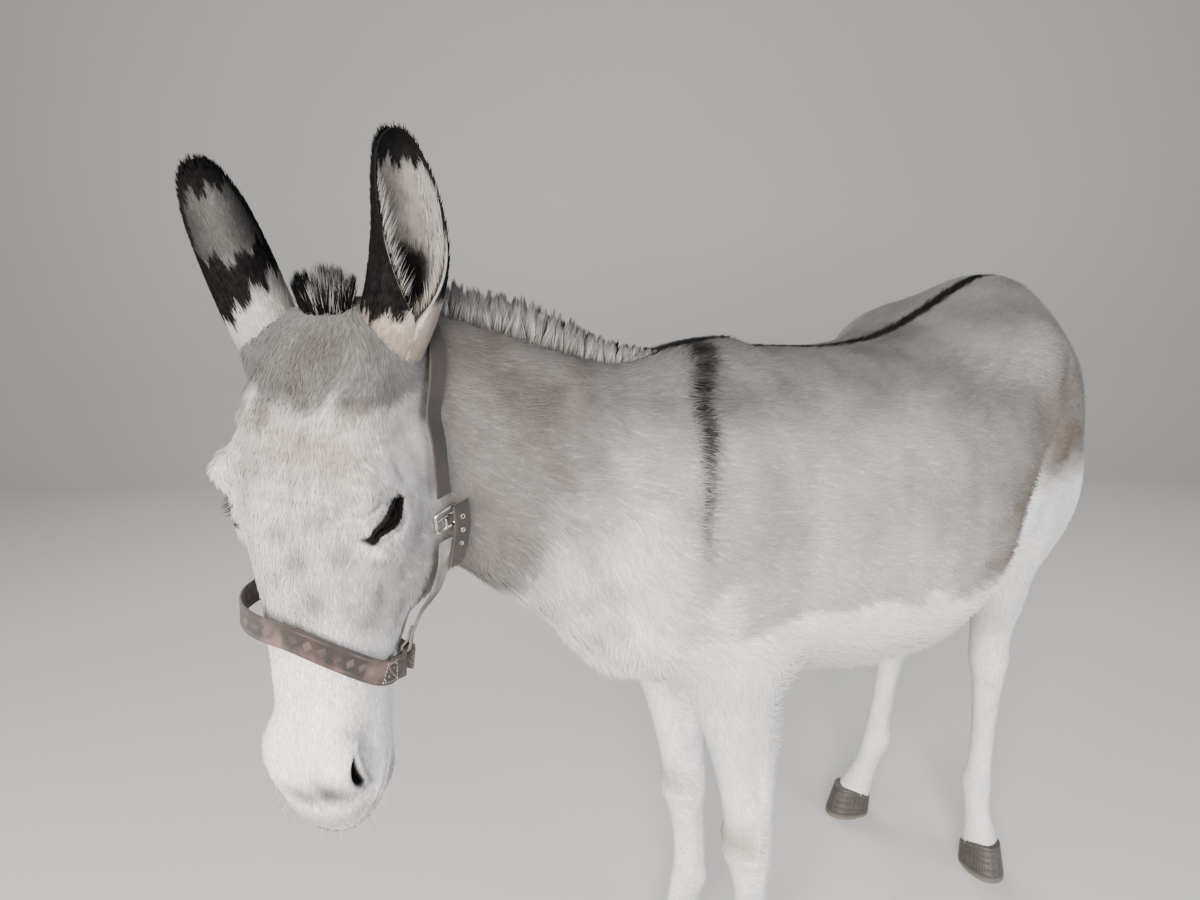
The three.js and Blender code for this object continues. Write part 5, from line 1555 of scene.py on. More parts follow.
def build_collar(settings):
    """The straps, rings, buckle and strap end, each in the place of its solid."""
    lift, wide, narrow = COLLAR["lift"], settings.nose_width / MM, settings.strap_width / MM
    nose_tape = webbing_finish("Noseband_Webbing", settings.nose, settings.pattern, "#85685f", 0.9, wide)
    dark_tape = webbing_finish("Headpiece_Webbing", settings.crown, "#1f1916", "#2a231f", 0.6, narrow)
    grey_tape = webbing_finish("Cheek_Webbing", settings.cheek, "#9d958f", "#b5aea8", 0.4, narrow)
    thread, nickel = thread_finish(), fitting_finish()
    ring = COLLAR["ring"]
    seats = {}
    for word, s in (("left", 1), ("right", -1)):
        angle = np.array([s * ring["at"]], float)
        place, out = round_nose(angle, nose_down(angle), np.array([lift]), True)
        seats[word] = (place[0], out[0])

    def wire_towards(seat, p):
        centre, out = seat
        way = p - centre
        way -= out * (way @ out)
        return centre + way / np.linalg.norm(way) * ring["radius"]

    def part(finish, points, tris):
        return {"points": points, "tris": tris, "finish": finish}

    def tape(name, path, outs, width, finish, node, loops):
        # loops names the rings that the start and the end go round, or None
        if loops[1]:
            path, outs = loop_round(path, outs, wire_towards(seats[loops[1]], path[-1]), ring["wire"])
        if loops[0]:
            path, outs = loop_round(path[::-1], outs[::-1], wire_towards(seats[loops[0]], path[0]), ring["wire"])
            path, outs = path[::-1], outs[::-1]
        points, tris, along, across, strip = strap_mesh(path, outs, width)
        parts = [{**part(finish, points, tris), "Along": along, "Across": across}]
        near, far = COLLAR["stitched"]
        if loops[1]:
            parts.append(part(thread, *stitches(strip, width, along[-1] - far, along[-1] - near)))
        if loops[0]:
            parts.append(part(thread, *stitches(strip, width, near, far)))
        joined(name, parts, node)

    angles = np.linspace(-COLLAR["nose"]["ends"], COLLAR["nose"]["ends"], 90)
    path, outs = spread(*round_nose(angles, nose_down(angles), nose_lift(angles)))
    tape("Noseband", path, outs, wide, nose_tape, "noseband", ("right", "left"))

    share = np.linspace(0, 1, 40)
    begin = COLLAR["chin"]["from"]
    angles = begin + (360 - 2 * begin) * share
    hang = np.sin(np.pi * share)
    left, right = nose_down(np.array([begin, -begin]))
    down = left + (right - left) * share + COLLAR["chin"]["sag"] * hang
    path, outs = round_nose(angles, down, lift + COLLAR["chin"]["slack"] * hang ** 0.5, True)
    path, outs = spread(path, outs, soften=5)
    tape("Chin_Strap", path, outs, wide, nose_tape, "chin_strap", ("left", "right"))

    crown = COLLAR["crown"]
    angle = np.radians(np.linspace(crown["ends"], -crown["ends"], 40))
    lean = math.radians(crown["tilt"])
    ways = np.stack([-np.cos(angle) * math.sin(lean), np.sin(angle), np.cos(angle) * math.cos(lean)], 1) @ HEAD_AXES.T
    origin = np.tile(on_head(crown["forward"], 0, crown["down"]), (40, 1))
    arc = leave_body(origin, ways)
    arc_out = facing(arc)
    arc = arc + arc_out * (lift + COLLAR["thick"] / 2)
    left, left_out = on_cheek(COLLAR["cheek"], 1, lift + 2)
    right, right_out = on_cheek(COLLAR["cheek"], -1, lift + 2)
    path, outs = spread(np.concatenate([left[::-1], arc, right]),
                        np.concatenate([left_out[::-1], arc_out, right_out]), soften=6)
    tape("Headpiece", path, outs, narrow, dark_tape, "headpiece", (None, None))

    for word, s in (("left", 1), ("right", -1)):
        path, outs = spread(*on_cheek(COLLAR["lower"][word], s, lift + 2), soften=3)
        tape(f"Cheek_Strap_{word.title()}", path, outs, narrow, grey_tape, f"cheek_strap_{word}", (None, word))
        centre, out = seats[word]
        u = head_way(0, 0, 1) - out * (head_way(0, 0, 1) @ out)
        u /= np.linalg.norm(u)
        v = np.cross(out, u)
        a = np.linspace(0, 2 * np.pi, 48, endpoint=False)
        circle = centre + ring["radius"] * (np.cos(a)[:, None] * u + np.sin(a)[:, None] * v)
        wire = part(nickel, *tube(circle, ring["wire"], out, 12))
        joined(f"Ring_{word.title()}", [wire], f"ring_{word}")

    path, outs = spread(*on_cheek(COLLAR["end"]["places"], 1, COLLAR["end"]["lift"]), soften=3)
    points, tris, along, across, strip = strap_mesh(path, outs, narrow)
    # its last seven millimetres are rounded off
    tip = along > along[-1] - 7
    shrink = np.sqrt(np.clip(1 - ((along - along[-1] + 7) / 7.6) ** 2, 0, 1))
    keep = np.repeat(strip[0], len(along) // len(strip[0]), axis=0)
    points = np.where(tip[:, None], keep + (points - keep) * (0.35 + 0.65 * shrink)[:, None], points)
    parts = [{**part(dark_tape, points, tris), "Along": along, "Across": across}]
    a = np.linspace(0, 2 * np.pi, 20, endpoint=False)[:, None]
    for spot in COLLAR["end"]["eyelets"]:
        middle, side, n, way = (along_path(spot, lengths(strip[0]), values) for values in strip)
        circle = middle + n * 1.2 + 2.3 * (np.cos(a) * side + np.sin(a) * way)
        parts.append(part(nickel, *tube(circle, 0.6, n, 8)))
    joined("Strap_End", parts, "strap_end")

    spec = COLLAR["buckle"]
    place, out = on_cheek([[spec["forward"], spec["down"]]], 1, lift)
    below, _ = on_cheek([[spec["forward"] - 8, spec["down"] + 20]], 1, lift)
    place, out = place[0], out[0]
    way = below[0] - place
    way -= out * (way @ out)
    way /= np.linalg.norm(way)
    across = np.cross(way, out)
    w, h = spec["width"] / 2 - spec["wire"], spec["height"] / 2 - spec["wire"]
    corner, a = 4.0, np.linspace(0, np.pi / 2, 6)
    line = []
    for sx, sy, turn in ((1, 1, 0), (-1, 1, 1), (-1, -1, 2), (1, -1, 3)):
        t = a + turn * np.pi / 2
        line += [(sx * (w - corner) + corner * math.cos(x), sy * (h - corner) + corner * math.sin(x)) for x in t]
    frame_path = np.array([place + across * x + way * y + out * (0.9 + 1.2 * (x / w) ** 2) for x, y in line])
    parts = [part(nickel, *tube(frame_path, spec["wire"], out, flat=0.85))]
    bar = np.array([place + across * x - way * (h * 0.1) - out * 0.4 for x in np.linspace(-w, w, 12)])
    parts.append(part(nickel, *tube(bar, 1.5, out, 8, closed=False)))
    t = np.linspace(0, 1, 12)[:, None]
    pin = place - way * (h * 0.1) + way * (t * (h * 1.1 + 1.5)) + out * (2.0 + 1.1 * np.sin(t * np.pi))
    parts.append(part(nickel, *tube(pin, np.linspace(1.5, 1.1, 12), out, 8, closed=False)))
    joined("Buckle", parts, "buckle")


# ---------------------------------------------------------------- coat
def unwrap(p):
    """Where a place on the skin lies on a flat map of the skin's own shape: cylinders laid side by side."""
    q = in_head(p)
    head = head_share(p) > 0.5
    leg = (p[:, 2] < 600) & ~head
    around = np.arctan2(p[:, 1] - neck_shift(np.clip(p[:, 0], -40, 495)), p[:, 2] - 820) / (2 * np.pi) + 0.5
    u = 0.03 + 0.57 * np.clip((p[:, 0] + 860) / 1420, 0, 1)
    v = 0.03 + 0.94 * around
    head_v = np.arctan2(q[:, 1], q[:, 0] + 40) / (2 * np.pi) + 0.5
    u = np.where(head, 0.65 + 0.32 * np.clip((-q[:, 2] + 20) / 520, 0, 1), u)
    v = np.where(head, 0.54 + 0.43 * head_v, v)
    for i, limb in enumerate(LIMBS.values()):
        x, y = limb_axes(*limb)(p[:, 2])[:2]
        mine = leg & (np.hypot(p[:, 0] - x, p[:, 1] - y) < 95)
        angle = np.arctan2(p[:, 1] - y, p[:, 0] - x) / (2 * np.pi) + 0.5
        u = np.where(mine, 0.65 + 0.085 * i + 0.07 * angle, u)
        v = np.where(mine, 0.03 + 0.36 * p[:, 2] / 620, v)
    return np.stack([u, v], 1)


def lie_of_hair(p, n):
    """The way the hair lies at each place, along the skin."""
    x, z = p[:, 0], p[:, 2]
    q = in_head(p)
    head = head_share(p)[:, None]
    way = np.tile([-1.0, 0.0, -0.34], (len(p), 1))
    front = step(90, 200, x)[:, None] * step(930, 800, z)[:, None]
    way = way + (np.array([-0.35, 0, -1.0]) - way) * front
    rear = step(-700, -770, x)[:, None]
    way = way + (np.array([-0.15, 0, -1.0]) - way) * rear
    low = step(700, 600, z)[:, None] * ((x > -20) | (x < -520))[:, None]
    way = way + (np.array([-0.12, 0, -1.0]) - way) * low
    on_top = (np.abs(n[:, 2]) > 0.8)[:, None] & (z > 900)[:, None]
    way = np.where(on_top, way * [1, 1, 0.2], way)
    cheek = step(20, -60, q[:, 0])[:, None] * step(300, 220, -q[:, 2])[:, None]
    ahead, back = HEAD_AXES @ np.array([0.15, 0, -1.0]), HEAD_AXES @ np.array([-0.8, 0, -0.6])
    face = ahead + (back - ahead) * cheek
    crown = (step(-6, -40, q[:, 0]) * step(90, 40, -q[:, 2]))[:, None]
    face = face + (HEAD_AXES @ np.array([-1.0, 0, -0.2]) - face) * crown
    way = way + (face - way) * head
    swirl = (0.34 * waves(p, 95, 11) + 0.2 * waves(p, 30, 12))[:, None]
    way = way + np.cross(n, way) * swirl
    way = way - n * (way * n).sum(1, keepdims=True)
    return way / np.maximum(np.linalg.norm(way, axis=1, keepdims=True), 1e-9)


def scatter(points, tris, per_mm2, seed):
    """Random places on a mesh with its normals: tris holds the triangles, per_mm2 the density of each."""
    pick = np.random.default_rng(seed)
    a, b, c = (points[tris[:, k]] for k in range(3))
    area = np.linalg.norm(np.cross(b - a, c - a), axis=1) / 2
    want = area * per_mm2
    count = np.floor(want + pick.random(len(want))).astype(int)
    which = np.repeat(np.arange(len(tris)), count)
    s, t = pick.random((2, len(which)))
    flip = s + t > 1
    s, t = np.where(flip, 1 - s, s), np.where(flip, 1 - t, t)
    n = point_normals(points, tris)
    na, nb, nc = (n[tris[which, k]] for k in range(3))
    place = a[which] + s[:, None] * (b - a)[which] + t[:, None] * (c - a)[which]
    normal = na + s[:, None] * (nb - na) + t[:, None] * (nc - na)
    return place, normal / np.maximum(np.linalg.norm(normal, axis=1, keepdims=True), 1e-9)


def lay_map(hair, tris, uv, patch):
    """Unwraps a mesh of hairs: the points of each lie close round the place where it grows."""
    layer = hair.data.uv_layers.new(name="OFBake")
    places = np.clip(uv[:, None] + (patch * 0.003 - 0.0015)[None], 0.001, 0.999).reshape(-1, 2)
    layer.data.foreach_set("uv", places[tris.ravel()].astype(np.float32).ravel())


def spikes(name, root, tip, side, normal, width, marks, vary, uv, finish):
    """Thin closed tufts of four faces, each from its root to its tip, joined in one mesh."""
    count = len(root)
    lift = normal * width[:, None] * 0.45
    half = side * width[:, None] * 0.5
    sink = normal * 0.5
    points = np.stack([root - half - sink, root + half - sink, root + lift, tip], 1).reshape(-1, 3)
    base = np.array([[0, 1, 2], [0, 2, 3], [2, 1, 3], [1, 0, 3]])
    tris = (np.arange(count)[:, None, None] * 4 + base).reshape(-1, 3)
    coat = make_mesh(name, points, tris)
    carry(coat, np.repeat(marks, 4, axis=0), Vary=np.repeat(vary, 4), Rise=np.tile([0, 0, 0.1, 1.0], count))
    lay_map(coat, tris, uv, np.array([[0, 0], [1, 0], [0.5, 0.5], [0.5, 1]]))
    # the shading follows the body, turned a little to either side
    soft = np.repeat(normal, 4, axis=0).reshape(count, 4, 3)
    soft = soft + side[:, None] * np.array([-0.45, 0.45, 0.0, 0.0])[None, :, None]
    coat.data.normals_split_custom_set_from_vertices(soft.reshape(-1, 3).tolist())
    coat.data.materials.append(finish)
    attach(coat, "root")


def strands(name, paths, widths, marks, vary, uv, finish, taper=0.55):
    """Longer closed hairs through several points, triangular in section and tapering to the tip."""
    count, rings = paths.shape[:2]
    along = np.gradient(paths, axis=1)
    along /= np.maximum(np.linalg.norm(along, axis=2, keepdims=True), 1e-9)
    ref = np.where(np.abs(along[..., 2:3]) < 0.9, np.array([0, 0, 1.0]), np.array([1.0, 0, 0]))
    side = np.cross(along, ref)
    side /= np.maximum(np.linalg.norm(side, axis=2, keepdims=True), 1e-9)
    third = np.cross(side, along)
    size = widths[:, None] * np.linspace(1, taper, rings)[None] * 0.5
    size[:, -1] = 0.0
    ring = [paths + (third * math.sin(a) + side * math.cos(a)) * size[..., None]
            for a in map(math.radians, (90, 210, 330))]
    body = np.stack(ring, 2)[:, :-1].reshape(count, -1, 3)
    points = np.concatenate([body, paths[:, -1:]], 1)
    per = points.shape[1]
    faces = [[0, 2, 1]]
    for k in range(rings - 2):
        for j in range(3):
            a, b = k * 3 + j, k * 3 + (j + 1) % 3
            faces += [[a, b, b + 3], [a, b + 3, a + 3]]
    last = (rings - 2) * 3
    faces += [[last + j, last + (j + 1) % 3, per - 1] for j in range(3)]
    faces = np.array(faces)[:, ::-1]
    tris = (np.arange(count)[:, None, None] * per + faces).reshape(-1, 3)
    hair = make_mesh(name, points.reshape(-1, 3), tris)
    rise = np.concatenate([np.repeat(np.linspace(0, 1, rings)[:-1], 3), [1.0]])
    carry(hair, np.repeat(marks, per, axis=0), Vary=np.repeat(vary, per), Rise=np.tile(rise, count))
    lay_map(hair, tris, uv, np.stack([np.concatenate([np.tile([0, 0.5, 1], rings - 1), [0.5]]), rise], 1))
    hair.data.materials.append(finish)
    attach(hair, "root")
    return hair


TUFTS = 48000  # the most in one piece, at four triangles each


def build_coat(points, tris, finish, settings):
    """Short hair over the whole skin: small tufts that overlap and lie along the body."""
    middle = points[tris].mean(1)
    head = head_share(middle)
    q = in_head(middle)
    leg = (middle[:, 2] < 560) & (head < 0.5)
    body = settings.density / 100
    density = np.where(leg, 1.53 * body, body)
    density = density + (1.86 * body - density) * head
    hidden = middle[:, 2] < 42
    for s in (1, -1):
        u, v, _, far = in_axes(middle, eye_axes(s))
        hidden |= (far < 32) & (lid_gap(u, v) < 2.5) & (np.abs(u) < 25)
        u, v, _, far = in_axes(middle, nostril_axes(s))
        hidden |= (far < 30) & (nostril_share(u, v) < 1.0)
    hidden |= (np.abs(mouth_line(q)[0]) < 1.6) & (-q[:, 2] > 428) & (head > 0.5)
    density = np.where(hidden, 0, density)
    root, n = scatter(points, tris, density, 21)
    pick = np.random.default_rng(22)
    count = len(root)
    head = head_share(root)
    x, y, z = root.T
    q = in_head(root)
    down = -q[:, 2]
    way = lie_of_hair(root, n)
    spin = pick.normal(0, 0.16, count)[:, None]
    way = way + np.cross(n, way) * spin
    way /= np.linalg.norm(way, axis=1, keepdims=True)
    side = np.cross(way, n)
    leg = step(620, 480, z) * (1 - head)
    length = settings.length / MM + 6 * step(720, 620, z) * (1 - leg)
    short = settings.short_length / MM
    length = length + (short - length) * leg + 2.5 * leg * step(130, 80, z)
    face = short - 3.5 * step(240, 380, down) - 1.2 * step(420, 470, down)
    length = (length + (face - length) * head) * pick.uniform(0.7, 1.3, count)
    # hair beside an opening is too short to reach over it
    for s in (1, -1):
        u, v, _, far = in_axes(root, eye_axes(s))
        edge = np.maximum(lid_gap(u, v), np.abs(u) - 23)
        length = np.where(far < 40, np.minimum(length, np.maximum(edge * 0.8, 1.5)), length)
        u, v, _, far = in_axes(root, nostril_axes(s))
        length = np.where(far < 34, np.minimum(length, np.maximum(nostril_share(u, v) * 0.8, 1.5)), length)
    depth = coat_depth(root)
    rise = depth * pick.uniform(0.25, 1.0, count) ** 0.8 * np.clip(length / 8, 0.15, 1)
    # hair stands out where it breaks the outline: belly, breast, elbows, jaw and the backs of the forelegs
    shaggy = step(640, 590, z) * step(-430, -350, x) * step(40, -60, x) * (z > 500)
    shaggy = np.maximum(shaggy, step(760, 660, z) * step(130, 200, x) * (1 - head))
    for name in ("foreleg_left", "foreleg_right"):
        fx, fy, c, s = limb_axes(*LIMBS[name])(z)
        behind = (x - fx) * c + (y - fy) * s
        close = 0.9 * (np.hypot(x - fx, y - fy) < 90)
        shaggy = np.maximum(shaggy, close * step(-18, -34, behind) * step(330, 400, z) * step(700, 600, z))
    tufted = shaggy * (pick.random(count) < 0.55)
    length = length * (1 + 0.75 * tufted)
    rise = rise + 6.5 * tufted * pick.uniform(0.4, 1.2, count)
    sway = 2.2 * np.stack([waves(root, 16, 31), waves(root, 16, 32), waves(root, 16, 33)], 1) * (length / 17)[:, None]
    tip = root + way * length[:, None] + n * rise[:, None] + sway - n * (sway * n).sum(1, keepdims=True)
    width = 1.75 + (1.15 - 1.75) * np.maximum(head, leg)
    width = width * pick.uniform(0.8, 1.25, count)
    marks = 0.55 * markings(root) + 0.45 * markings(root + way * (0.8 * length)[:, None])
    vary = pick.random(count)
    uv = unwrap(root)
    legs = (head <= 0.5) & (leg > 0.5)
    torso = (head <= 0.5) & (leg <= 0.5)
    regions = [("Head", head > 0.5), ("Legs", legs), ("Neck", torso & (x > 130))]
    for label, low_x, high_x in (("Shoulder", -190, 130), ("Barrel", -450, -190), ("Croup", -2000, -450)):
        between = torso & (x > low_x) & (x <= high_x)
        regions += [(f"{label}_Left", between & (y > 0)), (f"{label}_Right", between & (y <= 0))]
    for label, chosen in regions:
        chosen = np.nonzero(chosen)[0]
        for k in range(0, len(chosen), TUFTS):
            i = chosen[k:k + TUFTS]
            suffix = "" if len(chosen) <= TUFTS else f"_{k // TUFTS + 1}"
            own = (values[i] for values in (root, tip, side, n, width, marks, vary, uv))
            spikes(f"Coat_{label}{suffix}", *own, finish)


def ear_frame(s, share, angle, radius):
    """A place on the ear with its outward and lengthwise directions."""
    e = 0.01
    here = ear_surface(s, share, angle, radius)
    out = ear_surface(s, share, angle, radius + 1) - here
    length = ear_surface(s, share + e, angle, radius) - here
    length /= np.linalg.norm(length, axis=1, keepdims=True)
    return here, out, length


def build_ear_hair(finish):
    """Fine short hair outside each ear, long pale hair inside it and at its foot, greyed inside by painted shade."""
    outer, inner, curl = (profile(EAR_ROWS, i) for i in (1, 2, 3))
    for s, word in ((1, "Left"), (-1, "Right")):
        pick = np.random.default_rng(50 + s)
        count = 7000
        share = pick.random(count) ** 1.15
        half = np.radians(curl(share))
        angle = pick.uniform(-1, 1, count) * half
        keep = pick.random(count) < outer(share) * half / 55
        share, half, angle = share[keep], half[keep], angle[keep]
        here, out, along = ear_frame(s, share, angle, outer(share) - EAR_COAT["outside"])
        count = len(here)
        side = np.cross(along, out)
        length = pick.uniform(6, 11, count) * (1 - 0.3 * share)
        tip = here + along * length[:, None] + out * pick.uniform(0.6, 1.8, count)[:, None]
        tip = tip + side * pick.normal(0, 1.2, count)[:, None]
        marks = ear_markings(s, share, angle, half, np.zeros(count, bool))
        uv = np.stack([0.66 + 0.3 * share, (0.44 if s > 0 else 0.48) + 0.02 * angle / half], 1)
        spikes(f"Ear_Hair_Outer_{word}", here, tip, side, out, pick.uniform(0.9, 1.3, count), marks,
               pick.random(count), uv, finish)
        # inside: short pale hair over the whole wall, greyed by painted shade, then long hairs from the two edges
        # across the opening
        count = 5200
        share = pick.uniform(0.16, 0.97, count)
        half = np.radians(curl(share))
        angle = pick.uniform(-1, 1, count) * half
        here, out, along = ear_frame(s, share, angle, inner(share) + EAR_COAT["inside"])
        side = np.cross(along, -out)
        length = pick.uniform(8, 15, count) * (1 - 0.45 * share)
        tip = here + along * length[:, None] - out * pick.uniform(0.8, 3.4, count)[:, None]
        tip = tip + side * pick.normal(0, 2.0, count)[:, None]
        marks = ear_markings(s, share, angle, half, np.ones(count, bool))
        uv = np.stack([0.66 + 0.3 * share, (0.46 if s > 0 else 0.50) + 0.01 * angle / half], 1)
        spikes(f"Ear_Hair_Wall_{word}", here, tip, side, -out, pick.uniform(0.9, 1.4, count), marks,
               pick.random(count), uv, finish)
        count = 2600
        share = pick.uniform(0.08, 0.86, count)
        half = np.radians(curl(share))
        edge = np.sign(pick.uniform(-1, 1, count))
        near_edge = pick.uniform(0.5, 0.97, count)
        angle = edge * half * near_edge
        here, out, along = ear_frame(s, share, angle, inner(share) + EAR_COAT["inside"])
        side = np.cross(along, out)
        length = (13 + 17 * near_edge * np.sin(np.pi * share) ** 0.5) * pick.uniform(0.6, 1.2, count)
        length = length * step(1.02, 0.6, share)
        sweep = -out * pick.uniform(0.2, 0.5, count)[:, None]
        sweep = sweep - side * (edge * pick.uniform(-0.1, 0.35, count))[:, None]
        bend = here + (along * 0.75 + sweep * 0.55) * (length * 0.5)[:, None]
        tip = here + (along * 0.95 + sweep * 0.8) * length[:, None]
        paths = np.stack([here + out * 0.6, bend, tip], 1)
        marks = ear_markings(s, share, angle, half, np.ones(count, bool))
        marks[:, 1] *= 0.3 + 0.7 * step(0.7, 0.85, share)
        # painted shade: the long inner hairs get only a low to middling pale share, so they read grey
        marks[:, 0] = pick.uniform(0.1, 0.7, count)
        uv = np.stack([0.66 + 0.3 * share, np.full(count, 0.5 if s > 0 else 0.52)], 1)
        strands(f"Ear_Hair_Inner_{word}", paths, pick.uniform(0.7, 1.15, count), marks, pick.random(count), uv,
                finish)


# mane: place along the neck, height over the crest, half thickness
MANE = [
    [56, 9, 4], [80, 13, 6], [110, 20, 9], [140, 26, 11], [185, 36, 13], [235, 44, 14], [290, 47, 15],
    [335, 40, 15], [370, 37, 15], [408, 33, 13],
]


def drawn_together(root, tip, own, centres, tips, share):
    """Pulls hairs into locks: each leans by a share towards the tip of the lock that it belongs to."""
    return tip + share[:, None] * (tips[own] + (root - centres[own]) * 0.25 - tip)


def build_mane(finish, grow):
    """Short upright hair along the crest in pointed locks: dark in the middle, pale on both sides."""
    pick = np.random.default_rng(61)
    shape, thick = profile(MANE, 1), profile(MANE, 2)
    height = lambda x: shape(x) * grow

    def place(x, t):
        return np.stack([x, neck_shift(x) + t * thick(x) * 0.85, neck_top(x) - 5.5 - 4 * t * t], 1)
    locks = 330
    lx, lt = 56 + 352 * pick.random(locks), pick.uniform(-1, 1, locks)
    centres = place(lx, lt)
    lean = np.stack([pick.normal(-0.05, 0.16, locks), 0.42 * lt + pick.normal(0, 0.10, locks), np.ones(locks)], 1)
    lean /= np.linalg.norm(lean, axis=1, keepdims=True)
    tips = centres + lean * (height(lx) * (1 - 0.25 * np.abs(lt)) * pick.uniform(0.8, 1.1, locks) + 5.5)[:, None]
    count = 9000
    x = 56 + 352 * pick.random(count) ** 0.9
    t = np.clip(pick.normal(0, 0.55, count), -1, 1)
    own = (((x[:, None] - lx) / 8) ** 2 + ((t[:, None] - lt) * 2.2) ** 2).argmin(1)
    root = place(x, t)
    tall = (height(x) * (1 - 0.25 * np.abs(t)) + 5.5) * pick.uniform(0.6, 0.98, count)
    way = lean[own] + pick.normal(0, 0.05, (count, 3))
    way /= np.linalg.norm(way, axis=1, keepdims=True)
    share = pick.uniform(0.35, 0.85, count)
    tip = drawn_together(root, root + way * tall[:, None], own, centres, tips, share)
    bend = root + (tip - root) * 0.5 + (way * tall[:, None] - (tip - root)) * 0.18
    marks = np.zeros((count, 4))
    back = step(330, 180, x)
    core = step(0.5, 0.15, np.abs(t + 0.22)) * (0.35 + 0.6 * back)
    marks[:, 1] = np.clip(core + 0.2 * (pick.random(count) < 0.15), 0, 1)
    marks[:, 0] = 0.14 + 0.3 * (pick.random(count) < 0.35)
    marks[:, 3] = 0.2
    brown = (pick.random(count) < 0.8 * step(250, 120, x)) & (t < 0.3)
    marks[:, 2] = np.where(brown, 0.9, 0.1)
    marks[:, 1] = np.maximum(marks[:, 1], 0.45 * brown)
    uv = np.stack([0.05 + 0.5 * (x - 50) / 370, 0.5 + 0.004 * t], 1)
    hair = strands("Mane", np.stack([root, bend, tip], 1), pick.uniform(1.2, 2.0, count), marks,
                   pick.random(count), uv, finish)
    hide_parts("mane")


def build_forelock(finish, tall_mm):
    """The small upright tuft between the ears, in two lobes: a dark one on the right, a grey one on the left."""
    pick = np.random.default_rng(71)

    def disc(count):
        a, r = pick.uniform(0, 2 * np.pi, count), np.sqrt(pick.random(count))
        forward, left = -14 + 12 * r * np.cos(a), 20 * r * np.sin(a)
        start = np.array([on_head(f, l + 6, 12) for f, l in zip(forward, left)])
        return settle(skin_field, start, 3), left, r, a
    locks, count = 46, 5200
    axes = lambda f, l, u: (HEAD_AXES @ np.stack([f, l, u])).T
    centres, left, r, a = disc(locks)
    lobe = np.where(left < -5, -1.0, 1.0)
    lean = axes(0.1 + 0.2 * np.cos(a) * r + pick.normal(0, 0.12, locks),
                np.where(lobe < 0, -0.36, 0.16 * (left / 10)) + pick.normal(0, 0.12, locks), np.ones(locks))
    lean /= np.linalg.norm(lean, axis=1, keepdims=True)
    # the two lobes part five millimetres right of the middle
    high = lambda left, r: (0.6 + 0.4 * np.minimum(np.abs(left + 5) / 7, 1)) * (1 - 0.30 * r ** 2)
    tips = centres + lean * (tall_mm * high(left, r) * pick.uniform(0.84, 1.06, locks))[:, None]
    root, own_left, r, a = disc(count)
    across_parting = (own_left[:, None] < -5) != (left < -5)[None]
    own = (np.linalg.norm(root[:, None] - centres[None], axis=2) + 30 * across_parting).argmin(1)
    tall = 0.93 * tall_mm * high(own_left, r) * pick.uniform(0.55, 1.0, count)
    way = lean[own] + pick.normal(0, 0.09, (count, 3))
    way /= np.linalg.norm(way, axis=1, keepdims=True)
    tip = drawn_together(root, root + way * tall[:, None], own, centres, tips, pick.uniform(0.1, 0.7, count))
    bend = root + (tip - root) * 0.5 + (way * tall[:, None] - (tip - root)) * 0.25
    marks = np.zeros((count, 4))
    # the grey lobe has dark ends and a dark outline
    longest = step(0.86, 0.97, tall / (0.93 * tall_mm * high(own_left, r)))
    black = np.where(own_left < -5, 0.97, np.clip(0.12 + 0.8 * longest + 0.6 * step(0.7, 0.95, r), 0, 1))
    marks[:, 1] = np.where(pick.random(count) < black, 0.95, 0.12)
    marks[:, 3] = 0.6
    marks[:, 0] = np.where(own_left < -5, 0.0, 0.16)
    uv = np.stack([np.full(count, 0.645), 0.76 + 0.01 * np.sin(a) * r], 1)
    hair = strands("Forelock", np.stack([root, bend, tip], 1), pick.uniform(0.6, 1.05, count), marks,
                   pick.random(count), uv, finish)
    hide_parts("forelock")


# switch: height, place fore and aft, radius
SWITCH = [[734, -833, 17], [690, -832, 27], [620, -830, 34], [540, -828, 35], [470, -826, 27], [415, -824, 10]]


def build_switch(finish):
    """The long dark hair that hangs from the lower half of the tail."""
    pick = np.random.default_rng(81)
    middle, radius = profile(SWITCH, 1), profile(SWITCH, 2)
    count, rings = 3600, 6
    a, r = pick.uniform(0, 2 * np.pi, count), np.sqrt(pick.random(count))
    start = pick.uniform(700, 800, count)
    start = np.where(pick.random(count) < 0.4, pick.uniform(725, 745, count), start)
    end = pick.uniform(418, 600, count)
    end = np.where(pick.random(count) < 0.55, pick.uniform(418, 480, count), end)
    t = np.linspace(0, 1, rings)[None]
    z = start[:, None] + (end - start)[:, None] * t
    spread = np.clip(np.where(z > 734, 15.5, radius(z)), 3, 40) * (0.35 + 0.62 * r[:, None])
    turn = a[:, None] + 0.35 * np.sin(t * 3 + a[:, None]) * t
    wave = 2.5 * np.sin(t * 7 + a[:, None] * 2) * t
    x = np.where(z > 734, np.interp(z, [735, 830], [-833, -836]), middle(z)) + spread * np.cos(turn) + wave
    y = spread * np.sin(turn) + wave
    paths = np.stack([x, y, z], 2)
    marks = np.zeros((count, 4))
    marks[:, 1] = np.clip(0.9 - 0.3 * (r > 0.85) * pick.random(count), 0, 1)
    uv = np.stack([0.03 + 0.02 * pick.random(count), 0.5 + 0.02 * pick.random(count)], 1)
    hair = strands("Tail_Switch", paths, pick.uniform(1.4, 2.4, count), marks, pick.random(count), uv, finish,
                   0.7)
    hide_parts("tail_switch")


